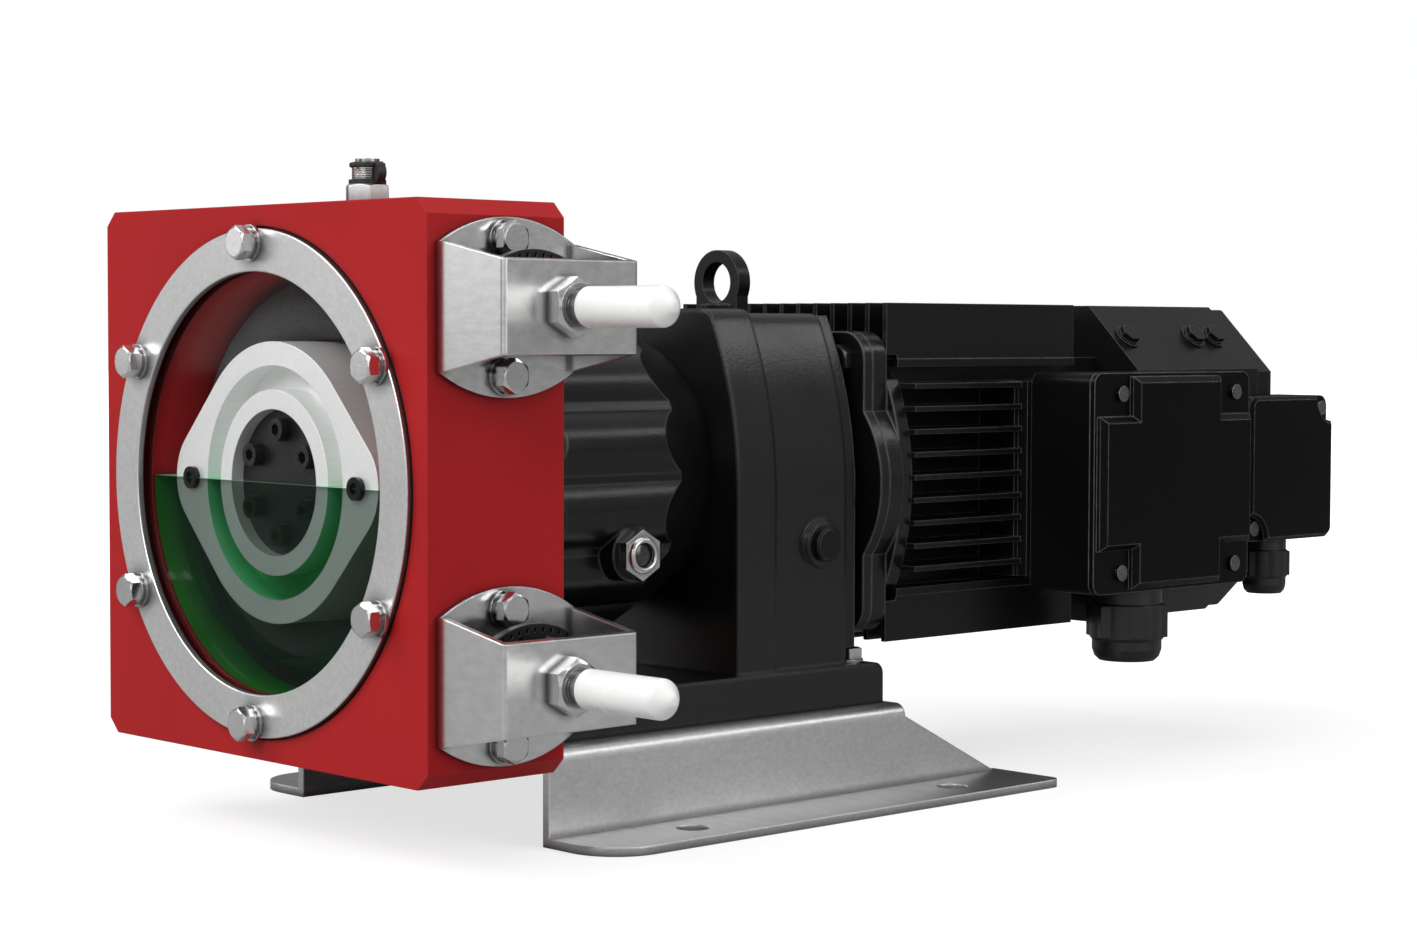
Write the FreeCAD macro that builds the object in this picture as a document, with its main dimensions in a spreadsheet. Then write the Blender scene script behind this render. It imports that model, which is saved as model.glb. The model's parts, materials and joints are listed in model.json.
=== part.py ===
import FreeCAD, Part
import math
import os
import re
import Sketcher
from FreeCAD import Vector

# Peristaltic hose pump with a geared motor drive, millimetres.
# The pump and drive lie along Y: the window faces -Y, the ports leave towards +X, Z is up.
# A station is a distance behind the front face of the pump housing, measured along the pump axis.
# The origin lies on the floor, at the centre of the four base holes.

SIZES = {
    # Base frame
    "axis_height": 157.0, "base_front": 86.5, "base_length": 295.0, "base_deck_length": 225.5,
    "base_half": 134.0, "web_half": 93.2, "sheet": 4.0, "base_rise": 43.0, "base_corner": 25.0,
    "base_tail_rise": 6.0, "base_tail_slope": 65.0, "base_tail_corner": 6.0, "hole_inset": 65.5,
    "hole_pitch_long": 171.0, "hole_pitch_wide": 228.0, "base_hole": 7.5,
    # Pump housing, window and cover ring
    "block_side": 240.0, "block_depth": 72.0, "block_bevel": 6.5, "rear_wall": 12.0,
    "cavity": 92.0, "recess_depth": 1.5, "recess_gap": 1.0, "window_thick": 4.0, "window_lap": 4.7,
    "window_gap": 0.3, "ring_outer": 110.0, "ring_bore": 91.5, "ring_thick": 3.0,
    "gasket_thick": 1.0, "cover_circle": 103.7,
    # Hexagon bolts of 8 mm and their washers
    "crown": 0.46, "bolt": 4.0, "bolt_gap": 0.3, "hex_flats": 13.0, "hex_height": 5.3, "washer": 8.0,
    "washer_thick": 1.6, "spring_washer": 6.6, "spring_thick": 2.0, "stack_gap": 0.02,
    # Hose, brackets and ports
    "hose": 13.5, "hose_bore": 5.0, "hose_arc": 75.8, "hose_station": 37.0, "hose_gap": 0.4,
    "hose_end": 152.0, "hose_lip": 28.0, "pinch_gap": 0.3,
    "bracket_sheet": 3.0, "bracket_reach": 43.3, "bracket_half": 35.5, "bracket_edge": 26.3,
    "bracket_rise": 10.7, "bracket_nose": 18.8, "bracket_bend": 2.0, "bracket_shift": 2.8,
    "bracket_bolt_pitch": 56.0,
    "nipple": 6.5, "nipple_bore": 4.5, "nipple_collar": 10.5, "nipple_thread": 8.0,
    "nipple_length": 38.0, "locknut_flats": 21.0, "locknut_thick": 8.0,
    "port_cap": 8.2, "port_cap_start": 13.8, "port_cap_length": 50.0, "port_cap_gap": 0.05,
    "clamp_thick": 0.9, "clamp_width": 12.0, "clamp_inset": 9.0, "clamp_crown": 23.2,
    "clamp_spread": 19.0, "clamp_bow": 40.0, "clamp_bar": 4.0, "clamp_slot": 4.2,
    # Breather on top of the housing
    "breather_side": 53.5, "breather_station": 20.0, "breather_flats": 17.0, "breather_hex": 7.8,
    "breather_stem": 3.0, "breather_bore": 1.5, "breather_seal": 7.9, "breather_seal_thick": 1.8,
    "breather_knob": 6.6, "breather_knob_tall": 4.9, "breather_neck": 5.1, "breather_tall": 10.6,
    # Rotor and shoes
    "rotor_front": 8.5, "rotor_rear": 56.0, "rotor_radius": 61.4, "shoe_nose": 24.0,
    "shoe_offset": 52.0, "shoe_seat": 50.0, "shoe_half": 14.0, "shoe_front": 22.0, "shoe_gap": 0.05,
    "groove_outer": 51.0, "hub_ring": 40.5, "hub_recess": 32.0, "groove_depth": 12.0,
    "recess_floor": 10.0, "hub_plate_thick": 4.0, "hub_screw_circle": 23.0, "small_screw": 3.0,
    "small_head": 5.0, "small_head_tall": 5.0, "shoe_screw_side": 62.0,
    # Output shaft, its bearings, key and seal
    "shaft": 17.5, "bearing_outer": 36.0, "bearing_width": 17.0, "front_bearing": 92.0,
    "rear_bearing": 178.0, "seal_outer": 26.0, "seal_width": 8.0, "seal_inset": 2.0,
    "key_width": 10.0, "key_height": 8.0, "key_length": 28.0, "run_gap": 0.05,
    # Bearing barrel
    "barrel": 75.0, "lobe": 20.0, "lobe_tip": 80.0, "lobes": 14.0, "barrel_flange": 88.0,
    "flange_thick": 14.0, "flange_circle": 79.5, "barrel_end": 212.0, "barrel_throat": 69.0,
    "barrel_swell": 26.0, "barrel_taper": 46.0, "barrel_tail": 62.0,
    # Gear case
    "case_length": 74.0, "case_half": 80.0, "case_top": 77.0, "case_shoulder": 60.0,
    "case_waist": 12.0, "case_wall": 8.0, "case_front_wall": 12.0, "case_band": 25.0,
    "case_band_rise": 2.0, "case_round": 9.0, "shaft_pass": 30.0,
    "foot_thick": 20.0, "foot_half": 82.0, "foot_front": 136.0, "foot_rear": 308.0, "foot_round": 6.0,
    "lug_front": 104.0, "lug_thick": 7.0, "foot_bolt_front": 120.0, "foot_bolt_rear": 294.0,
    "foot_bolt_side": 71.0,
    # Gears
    "module": 1.5, "output_teeth": 56.0, "counter_teeth": 12.0, "wheel_teeth": 47.0,
    "input_teeth": 11.0, "output_wheel_start": 226.0, "output_wheel_width": 18.0,
    "wheel_start": 254.0, "wheel_width": 12.0, "counter_shaft": 6.0, "counter_bearing": 16.0,
    "counter_bearing_width": 10.0, "output_shaft_end": 246.0, "backlash": 0.12,
    # Input cover and motor
    "cover_thick": 7.0, "neck": 68.0, "neck_length": 9.0, "square_half": 74.0, "square_thick": 6.0,
    "square_round": 14.0, "square_bulge": 12.0, "bulge_half": 35.0, "motor_shield_thick": 10.0,
    "shield_rim": 8.0, "rim_half": 84.0, "rim_reach": 50.0, "input_pass": 14.0, "motor_shaft": 9.5,
    "pinion_bore": 5.0,
    "motor_bearing": 23.5, "motor_bearing_width": 14.0, "frame_length": 171.0,
    "frame_core": 60.5, "frame_low": 56.5, "frame_bore": 52.5, "frame_shelf": 74.0,
    "shelf_thick": 4.0, "fin_reach": 88.0, "fin_low": 78.5, "fin_lead": 7.5, "fin_gap": 36.0,
    "fin_side_reach": 86.0, "fin_thick": 2.6, "fin_pitch": 12.0, "top_fins": 13.0, "side_fins": 9.0,
    "rib_pitch": 11.2, "rib_lift": 2.5, "box_pad_front": 402.0, "box_pad_half": 48.0,
    "rear_shield_thick": 12.0, "stator_bore": 35.5, "stator_inset": 24.0, "winding_room": 25.0,
    "air_gap": 0.5,
    # Fan cowl and separate fan
    "cowl_half": 88.0, "cowl_low": 82.0, "cowl_facet": 34.0, "cowl_length": 106.0, "cowl_wall": 2.5,
    "cowl_screw_flats": 10.0, "cap_length": 19.0, "cap_inset": 1.5, "cap_round": 7.0, "fan_radius": 68.0,
    "fan_hub": 20.0, "fan_width": 26.0, "fan_gap": 18.0, "blade_thick": 3.0, "blades": 7.0,
    "fan_motor": 38.0, "fan_motor_length": 42.0, "fan_spindle": 4.0,
    # Terminal boxes
    "box_side": 90.0, "box_step": 3.0, "wire_hole": 12.0, "box_depth": 38.0, "box_front": 408.0,
    "box_length": 128.0, "box_half": 55.5, "box_sag": 2.0, "box_wall": 4.0, "box_round": 6.0,
    "lid_thick": 8.0, "lid_plate": 3.0, "lid_corner": 26.0, "lid_notch": 20.0,
    "lid_screw_long": 94.0, "lid_screw_high": 90.0, "gland": 19.8, "gland_length": 37.0,
    "gland_bore": 7.0, "gland_side": 112.0, "gland_station": 459.0,
    "small_box_depth": 26.0, "small_box_sink": 2.0, "small_box_front": 553.0, "small_box_length": 75.0,
    "small_box_low": 38.5, "small_box_high": 39.5, "small_lid_thick": 5.0, "small_corner": 14.0,
    "small_gland": 13.0,
    "small_gland_length": 30.0, "small_gland_bore": 4.5, "small_gland_station": 590.0,
    # Sight plug, side plug and lifting eye
    "sight_station": 150.0, "sight_height": 34.0, "sight_flats": 20.0, "sight_glass": 5.5,
    "sight_face": 76.6, "sight_thick": 6.5, "side_plug": 8.0, "side_plug_station": 268.0,
    "side_plug_height": 35.0, "eye_station": 277.0, "eye_outer": 16.0, "eye_bore": 10.0,
    "eye_thick": 8.0, "eye_rise": 13.5, "eye_foot": 11.0, "eye_step": 3.2, "eye_stud": 5.0,
}

doc = FreeCAD.newDocument("HosePump")
sheet = doc.addObject("Spreadsheet::Sheet", "Sizes")
for row, (name, value) in enumerate(SIZES.items(), 1):
    sheet.set("A%d" % row, name)
    sheet.set("B%d" % row, str(value))
    sheet.setAlias("B%d" % row, name)
doc.recompute()

# Places worked out from the sizes above
SETBACK = "(base_front + hole_inset + hole_pitch_long / 2)"
SEAT_FLOOR = "(recess_depth + window_thick)"
RING_FACE = "(recess_depth - gasket_thick - ring_thick)"
CAVITY_FLOOR = "(block_depth - rear_wall)"
BRACKET_FACE = "(block_side / 2 + bracket_sheet)"
NOSE_FACE = "(block_side / 2 + bracket_reach)"
SHOE_TIP = "(shoe_offset + shoe_nose)"
HUB_FLOOR = "(rotor_front + recess_floor)"
OUTPUT_CENTRES = "(module * (output_teeth + counter_teeth) / 2)"
INPUT_CENTRES = "(module * (wheel_teeth + input_teeth) / 2)"
MOTOR_DROP = "(%s - %s)" % (OUTPUT_CENTRES, INPUT_CENTRES)
DECK = "(axis_height - base_rise)"
CASE_FRONT = "barrel_end"
CASE_REAR = "(barrel_end + case_length)"
SQUARE_FRONT = "(barrel_end + case_length + cover_thick + neck_length)"
SHIELD_FRONT = "(%s + square_thick)" % SQUARE_FRONT
FRAME_FRONT = "(%s + motor_shield_thick + shield_rim)" % SHIELD_FRONT
STATOR_FRONT = "(%s + stator_inset)" % FRAME_FRONT
STATOR_LENGTH = "(frame_length - stator_inset - rear_shield_thick - winding_room)"
FRAME_REAR = "(%s + frame_length)" % FRAME_FRONT
COWL_REAR = "(%s + cowl_length)" % FRAME_REAR
COWL_BEVEL = "(cowl_half - cowl_facet / 2)"
BOX_FACE = "(box_side + box_depth)"
WIRE_STATION = "(box_pad_front + box_pad_half * 0.9)"
BOX_DROP = "(%s + box_sag)" % MOTOR_DROP

parts = []


def tied(text):
    """Write an expression of size names as one that the sheet's cells drive."""
    return re.sub(r"[a-z_]\w*", lambda m: "Sizes." + m.group() if m.group() in SIZES else m.group(), text)


def number(text):
    """The present value of an expression of size names."""
    return float(sheet.evalExpression(tied(text)))


def new_body(label, side="0", station="0", height="0"):
    """A body with its own origin at a side, a station and a height from the pump axis."""
    body = doc.addObject("PartDesign::Body", label)
    body.Label = label
    body.AllowCompound = True
    body.setExpression("Placement.Base.x", tied(side))
    body.setExpression("Placement.Base.y", tied("%s - %s" % (station, SETBACK)))
    body.setExpression("Placement.Base.z", tied("axis_height + %s" % height))
    parts.append(body)
    return body


def origin_feature(body, role):
    return next(f for f in body.Origin.OriginFeatures if f.Role == role)


def plane_sketch(body, role, offset="0"):
    sketch = body.newObject("Sketcher::SketchObject", "Sketch")
    sketch.AttachmentSupport = [(origin_feature(body, role), "")]
    sketch.MapMode = "FlatFace"
    sketch.setExpression("AttachmentOffset.Base.z", tied(offset))
    return sketch


def cross_sketch(body, station="0"):
    """A sketch across the pump axis: its first axis is X, its second Z."""
    return plane_sketch(body, "XZ_Plane", "-(%s)" % station)


def side_sketch(body, side="0"):
    """A sketch seen from the side: its first axis is Y, its second Z."""
    return plane_sketch(body, "YZ_Plane", side)


def level_sketch(body, height="0"):
    """A sketch seen from above: its first axis is X, its second Y."""
    return plane_sketch(body, "XY_Plane", height)


def bevel_sketch(body, side, height):
    """A sketch that faces up and out at 45 degrees, from a side and a height; its second axis is Y."""
    sketch = level_sketch(body, height)
    sketch.AttachmentOffset = FreeCAD.Placement(Vector(), FreeCAD.Rotation(Vector(0, 1, 0), 45))
    sketch.setExpression("AttachmentOffset.Base.x", tied(side))
    sketch.setExpression("AttachmentOffset.Base.z", tied(height))
    return sketch


def fix_point(sketch, geometry, point, x, y):
    for kind, text in (("DistanceX", x), ("DistanceY", y)):
        index = sketch.addConstraint(Sketcher.Constraint(kind, -1, 1, geometry, point, number(text)))
        sketch.setExpression("Constraints[%d]" % index, tied(text))


def fix_radius(sketch, geometry, radius):
    index = sketch.addConstraint(Sketcher.Constraint("Radius", geometry, number(radius)))
    sketch.setExpression("Constraints[%d]" % index, tied(radius))


def circle(sketch, x, y, radius):
    centre = Vector(number(x), number(y), 0)
    geometry = sketch.addGeometry(Part.Circle(centre, Vector(0, 0, 1), number(radius)))
    fix_point(sketch, geometry, 3, x, y)
    fix_radius(sketch, geometry, radius)


def arc_between(start, end, radius, bulge_right=True):
    """A minor arc from start to end that bulges to the right of the way from one to the other."""
    chord = end - start
    middle = (start + end) / 2
    right = Vector(chord.y, -chord.x, 0).normalize()
    if not bulge_right:
        right = right * -1
    sagitta = radius - math.sqrt(max(radius ** 2 - (chord.Length / 2) ** 2, 0))
    return Part.Arc(start, middle + right * sagitta, end)


def outline(sketch, corners):
    """A closed outline, run anticlockwise. A corner's third entry is the radius of a convex arc
    to the next corner."""
    points = [Vector(number(corner[0]), number(corner[1]), 0) for corner in corners]
    first = sketch.GeometryCount
    count = len(corners)
    for k, corner in enumerate(corners):
        start, end = points[k], points[(k + 1) % count]
        if len(corner) == 3:
            sketch.addGeometry(arc_between(start, end, number(corner[2])))
            fix_radius(sketch, first + k, corner[2])
        else:
            sketch.addGeometry(Part.LineSegment(start, end))
    for k, corner in enumerate(corners):
        fix_point(sketch, first + k, 1, corner[0], corner[1])
        sketch.addConstraint(Sketcher.Constraint("Coincident", first + k, 2, first + (k + 1) % count, 1))


def axis_line(sketch, start, end):
    """A construction line that a profile can be turned about."""
    ends = [Vector(number(x), number(y), 0) for x, y in (start, end)]
    line = sketch.addGeometry(Part.LineSegment(*ends), True)
    fix_point(sketch, line, 1, *start)
    fix_point(sketch, line, 2, *end)


def rectangle(sketch, x0, y0, x1, y1):
    outline(sketch, [(x0, y0), (x1, y0), (x1, y1), (x0, y1)])


def rounded_rectangle(sketch, x0, y0, x1, y1, radius):
    outline(sketch, [
        ("%s + %s" % (x0, radius), y0), ("%s - %s" % (x1, radius), y0, radius),
        (x1, "%s + %s" % (y0, radius)), (x1, "%s - %s" % (y1, radius), radius),
        ("%s - %s" % (x1, radius), y1), ("%s + %s" % (x0, radius), y1, radius),
        (x0, "%s - %s" % (y1, radius)), (x0, "%s + %s" % (y0, radius), radius)])


def hexagon(sketch, x, y, flats):
    corners = []
    for k in range(6):
        turn = math.radians(60 * k + 30)
        corners.append(("%s + %s / sqrt(3) * %.9f" % (x, flats, math.cos(turn)),
                        "%s + %s / sqrt(3) * %.9f" % (y, flats, math.sin(turn))))
    outline(sketch, corners)


def octagon(sketch, half, low, facet):
    """A square with bevelled corners; low is its reach below the middle."""
    inner, foot = "(%s - %s)" % (half, facet), "(%s - %s)" % (low, facet)
    outline(sketch, [("-" + inner, "-" + low), (inner, "-" + low), (half, "-" + foot), (half, inner),
                     (inner, half), ("-" + inner, half), ("-" + half, inner), ("-" + half, "-" + foot)])


def pad(body, sketch, length, back=True):
    """Extrude a sketch; across the axis, back is towards +Y, elsewhere along the positive axis."""
    feature = body.newObject("PartDesign::Pad", "Pad")
    feature.Profile = sketch
    across = origin_feature(body, "XZ_Plane") in [s[0] for s in sketch.AttachmentSupport]
    feature.Reversed = back if across else not back
    feature.setExpression("Length", tied(length))
    body.Tip = feature
    return feature


def pocket(body, sketch, length, back=True):
    """Cut a sketch out; across the axis, back is towards +Y, elsewhere along the positive axis."""
    feature = body.newObject("PartDesign::Pocket", "Pocket")
    feature.Profile = sketch
    across = origin_feature(body, "XZ_Plane") in [s[0] for s in sketch.AttachmentSupport]
    feature.Reversed = not back if across else back
    feature.setExpression("Length", tied(length))
    body.Tip = feature
    return feature


def turned(body, sketch, axis="H_Axis", angle=360, middle=False, back=False):
    feature = body.newObject("PartDesign::Revolution", "Revolution")
    feature.Profile = sketch
    feature.ReferenceAxis = (sketch, [axis])
    feature.Angle = angle
    feature.Midplane = middle
    feature.Reversed = back
    body.Tip = feature
    return feature


def turned_away(body, sketch, axis="H_Axis"):
    """Cut out what a sketch sweeps in a full turn."""
    feature = body.newObject("PartDesign::Groove", "Groove")
    feature.Profile = sketch
    feature.ReferenceAxis = (sketch, [axis])
    feature.Angle = 360
    body.Tip = feature
    return feature


def around(body, features, count, role="Y_Axis", angle=360):
    feature = body.newObject("PartDesign::PolarPattern", "Ring")
    feature.Originals = features
    feature.Axis = (origin_feature(body, role), [""])
    feature.Angle = angle
    feature.Occurrences = count
    body.Tip = feature
    return feature


def along(body, features, count, pitch, role="X_Axis"):
    feature = body.newObject("PartDesign::LinearPattern", "Row")
    feature.Originals = features
    feature.Direction = (origin_feature(body, role), [""])
    feature.setExpression("Length", tied("%s * (%s - 1)" % (pitch, count)))
    feature.setExpression("Occurrences", tied(count))
    body.Tip = feature
    return feature


def mirrored(body, features, role):
    feature = body.newObject("PartDesign::Mirrored", "Mirror")
    feature.Originals = features
    feature.MirrorPlane = (origin_feature(body, role), [""])
    body.Tip = feature
    return feature


def rounded_edges(body, radius, choose, kind="Fillet"):
    """Round or bevel the edges of the body's last feature that choose accepts."""
    doc.recompute()
    base = body.Tip
    names = ["Edge%d" % k for k, edge in enumerate(base.Shape.Edges, 1) if choose(edge)]
    feature = body.newObject("PartDesign::" + kind, kind)
    feature.Base = (base, names)
    feature.setExpression("Radius" if kind == "Fillet" else "Size", tied(radius))
    body.Tip = feature
    return feature


def straight_along(edge, axis):
    if not isinstance(edge.Curve, Part.Line):
        return False
    return abs(edge.tangentAt(edge.FirstParameter).dot(axis)) > 0.999


# Pump head

def pump_housing():
    body = new_body("pump_housing")
    half, bevel = "block_side / 2", "block_bevel"
    inner = "(block_side / 2 - block_bevel)"
    block = cross_sketch(body)
    outline(block, [("-" + inner, "-" + half), (inner, "-" + half), (half, "-" + inner), (half, inner),
                    (inner, half), ("-" + inner, half), ("-" + half, inner), ("-" + half, "-" + inner)])
    pad(body, block, "block_depth")
    for radius, depth in (("ring_outer + recess_gap", "recess_depth"),
                          ("cavity + window_lap + window_gap", SEAT_FLOOR),
                          ("cavity", CAVITY_FLOOR), ("seal_outer", "block_depth")):
        bore = cross_sketch(body)
        circle(bore, "0", "0", radius)
        pocket(body, bore, depth)
    ports = side_sketch(body, half)
    for sign in ("", "-"):
        circle(ports, "hose_station", sign + "hose_arc", "hose + hose_gap")
    pocket(body, ports, half, back=False)
    tapped = side_sketch(body, half)
    for sign in ("", "-"):
        for step in ("+", "-"):
            circle(tapped, "hose_station", "%shose_arc %s bracket_bolt_pitch / 2" % (sign, step), "bolt")
    pocket(body, tapped, "bolt * 5", back=False)
    hole = cross_sketch(body)
    circle(hole, "0", "cover_circle", "bolt")
    around(body, [pocket(body, hole, "bolt * 5.5")], 6)
    rear = cross_sketch(body, "block_depth")
    circle(rear, "0", "flange_circle", "bolt")
    around(body, [pocket(body, rear, "rear_wall - 1", back=False)], 6)
    vent = level_sketch(body, half)
    circle(vent, "breather_side", "breather_station", "breather_bore * 3")
    pocket(body, vent, "block_side / 2 - cavity * 0.8", back=False)


def cover_gasket():
    body = new_body("cover_gasket", station="recess_depth - gasket_thick")
    flat_ring(body, "cavity + recess_gap", "ring_outer", "gasket_thick")


def flat_ring(body, bore, outer, thick):
    face = cross_sketch(body)
    circle(face, "0", "0", outer)
    circle(face, "0", "0", bore)
    pad(body, face, thick)
    hole = cross_sketch(body)
    circle(hole, "0", "cover_circle", "bolt + bolt_gap")
    around(body, [pocket(body, hole, thick)], 6)


def sight_window():
    body = new_body("sight_window", station="recess_depth")
    face = cross_sketch(body)
    circle(face, "0", "0", "cavity + window_lap")
    pad(body, face, "window_thick")


def cover_ring():
    body = new_body("cover_ring", station=RING_FACE)
    flat_ring(body, "ring_bore", "ring_outer", "ring_thick")
    rounded_edges(body, "ring_thick / 8", lambda edge: edge.Length > 400 and edge.BoundBox.YMax < 0.1,
                  "Chamfer")


def crowned(body, sketch, face, middle, flats, inward="+"):
    """Bevel a hexagon's corners at its end face, round its own axis.
    The axis lies along the sketch's first axis; inward is the sign of the way into the head."""
    start = "(%s + %s * crown)" % (middle, flats)
    lip = "(%s + %s * 0.62)" % (middle, flats)
    depth = "(%s %s %s * (0.62 - crown) * 0.6)" % (face, inward, flats)
    outline(sketch, [(face, start), (depth, lip), (face, lip)])
    axis_line(sketch, (face, middle), (depth, middle))
    return turned_away(body, sketch, "Axis0")


def hex_bolt(body, x, z, under, grip, sign="-"):
    """A bolt along Y: its head lies in front of the face at the station under."""
    head = cross_sketch(body, under)
    hexagon(head, x, z, "hex_flats")
    back = sign == "-"
    top = pad(body, head, "hex_height", back=not back)
    bevel = side_sketch(body, x)
    if back:
        crown = crowned(body, bevel, "(%s - hex_height)" % under, z, "hex_flats", "+")
    else:
        crown = crowned(body, bevel, "(%s + hex_height)" % under, z, "hex_flats", "-")
    shank = cross_sketch(body, under)
    circle(shank, x, z, "bolt")
    return [top, crown, pad(body, shank, grip, back=back)]


def cover_bolts():
    body = new_body("cover_bolts", station=RING_FACE)
    under = "-(washer_thick + spring_thick)"
    around(body, hex_bolt(body, "0", "cover_circle", under, "bolt * 5 + washer_thick"), 6)


def washer_at(body, x, z, station, radius, thick, back=False):
    face = cross_sketch(body, station)
    circle(face, x, z, radius)
    circle(face, x, z, "bolt + bolt_gap")
    return pad(body, face, thick, back=back)


def cover_washers():
    body = new_body("cover_washers", station=RING_FACE)
    flat = washer_at(body, "0", "cover_circle", "0", "washer", "washer_thick")
    spring = washer_at(body, "0", "cover_circle", "-(washer_thick + stack_gap)", "spring_washer",
                       "spring_thick - stack_gap")
    around(body, [flat, spring], 6)


def breather_body():
    body = new_body("breather_body", "breather_side", "breather_station", "block_side / 2")
    hexed = level_sketch(body)
    hexagon(hexed, "0", "0", "breather_flats")
    pad(body, hexed, "breather_hex")
    bevel = cross_sketch(body)
    start, lip = "breather_flats * crown", "breather_flats * 0.62"
    outline(bevel, [(start, "breather_hex"), (lip, "(breather_hex - breather_flats * (0.62 - crown) * 0.6)"),
                    (lip, "breather_hex")])
    turned_away(body, bevel, "V_Axis")
    stem = cross_sketch(body)
    top = "breather_hex + breather_tall * 0.6"
    outline(stem, [("breather_bore", "-12"), ("breather_bore * 3", "-12"), ("breather_bore * 3", "0"),
                   ("breather_stem", "0"), ("breather_stem", top), ("breather_bore", top)])
    turned(body, stem, "V_Axis")
    bore = level_sketch(body, "breather_hex")
    circle(bore, "0", "0", "breather_bore")
    pocket(body, bore, "breather_hex", back=False)


def breather_tether():
    """A rubber ring under the breather's cap, with a strap that bows out beside it."""
    body = new_body("breather_tether", "breather_side", "breather_station",
                    "block_side / 2 + breather_hex")
    low = level_sketch(body)
    circle(low, "0", "0", "breather_seal")
    circle(low, "0", "0", "breather_stem + run_gap")
    pad(body, low, "breather_seal_thick")
    loop = cross_sketch(body)
    foot, near, rise = "breather_seal - 1", "(breather_knob + 0.4)", "(breather_tall * 0.88)"
    outline(loop, [(foot, "0"), ("breather_seal", "0", "%s * 0.56" % rise), ("breather_seal", rise),
                   ("breather_seal - 0.1", rise), ("breather_seal - 0.1", "%s * 0.72" % rise),
                   (near, "%s * 0.72" % rise), (near, "breather_seal_thick"),
                   (foot, "breather_seal_thick")])
    strap = pad(body, loop, "breather_stem + 1", back=True)
    strap.Midplane = True


def breather_cap():
    """A ribbed knob with a narrower neck and a flat top."""
    body = new_body("breather_cap", "breather_side", "breather_station",
                    "block_side / 2 + breather_hex")
    knob = cross_sketch(body)
    low = "(breather_seal_thick + 0.2)"
    shoulder = "(%s + breather_knob_tall)" % low
    hollow = "breather_tall * 0.65"
    outline(knob, [("breather_stem + run_gap", low), ("breather_knob", low), ("breather_knob", shoulder),
                   ("breather_neck", shoulder), ("breather_neck", "breather_tall"),
                   ("0", "breather_tall"), ("0", hollow), ("breather_stem + run_gap", hollow)])
    turned(body, knob, "V_Axis")
    groove = cross_sketch(body)
    rib = "(breather_knob_tall / 7)"
    outline(groove, [("breather_knob - 0.3", "%s + %s * 0.8" % (low, rib)),
                     ("breather_knob + 0.1", "%s + %s * 0.4" % (low, rib)),
                     ("breather_knob + 0.1", "%s + %s * 1.2" % (low, rib))])
    cut = turned_away(body, groove, "V_Axis")
    along(body, [cut], "6", rib, "Z_Axis")


# Hose and ports

def pump_hose():
    body = new_body("pump_hose", station="hose_station")
    bend = side_sketch(body)
    circle(bend, "0", "hose_arc", "hose")
    circle(bend, "0", "hose_arc", "hose_bore")
    turned(body, bend, "H_Axis", 180, back=True)
    for sign in ("", "-"):
        leg = side_sketch(body)
        circle(leg, "0", sign + "hose_arc", "hose")
        circle(leg, "0", sign + "hose_arc", "hose_bore")
        pad(body, leg, "hose_end")
        mouth = side_sketch(body, "hose_end")
        circle(mouth, "0", sign + "hose_arc", "nipple + 0.05")
        pocket(body, mouth, "hose_lip", back=False)
    shut = level_sketch(body)
    circle(shut, "-hose_arc", "0", "hose_bore + 0.01")
    turned(body, shut, "V_Axis", 44, middle=True)
    dent = cross_sketch(body, "-hose * 1.3")
    lens(dent, "pinch_gap")
    pocket(body, dent, "hose * 2.6")


def port_bracket(label, height):
    body = new_body(label, station="hose_station + bracket_shift", height=height)
    half, edge = "bracket_half", "bracket_edge"
    rise = "((bracket_half ^ 2 + bracket_rise ^ 2) / (2 * bracket_rise))"
    plate = side_sketch(body, "block_side / 2")
    outline(plate, [("-" + half, "-" + edge, rise), (half, "-" + edge), (half, edge, rise),
                    ("-" + half, edge)])
    pad(body, plate, "bracket_sheet")
    shell = side_sketch(body, BRACKET_FACE)
    rectangle(shell, "-" + half, "-" + edge, half, edge)
    pad(body, shell, "bracket_reach - bracket_sheet")
    rounded_edges(body, "bracket_bend", lambda edge: straight_along(edge, Vector(0, 0, 1))
                  and edge.CenterOfMass.x > number(NOSE_FACE) - 0.1)
    hollow = side_sketch(body, BRACKET_FACE)
    inner = "(bracket_half - bracket_sheet)"
    rectangle(hollow, "-" + inner, "-" + edge, inner, edge)
    pocket(body, hollow, "bracket_reach - bracket_sheet * 2")
    trims = []
    taper = cross_sketch(body, "-" + half)
    outline(taper, [("%s + bracket_sheet * 0.5" % BRACKET_FACE, edge), (NOSE_FACE, "bracket_nose"),
                    (NOSE_FACE, edge)])
    trims.append(pocket(body, taper, "bracket_half * 2"))
    mirrored(body, trims, "XY_Plane")
    holes = side_sketch(body, "block_side / 2")
    circle(holes, "-bracket_shift", "0", "hose + hose_gap")
    for sign in ("", "-"):
        circle(holes, "-bracket_shift", sign + "bracket_bolt_pitch / 2", "bolt + bolt_gap")
    pocket(body, holes, "bracket_sheet")
    nose = side_sketch(body, "%s - bracket_sheet" % NOSE_FACE)
    circle(nose, "-bracket_shift", "0", "nipple_thread + run_gap")
    pocket(body, nose, "bracket_sheet")


def side_places():
    """Heights of the four bracket bolts from the pump axis."""
    return ["%shose_arc %s bracket_bolt_pitch / 2" % (sign, step) for sign in ("", "-")
            for step in ("+", "-")]


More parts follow.
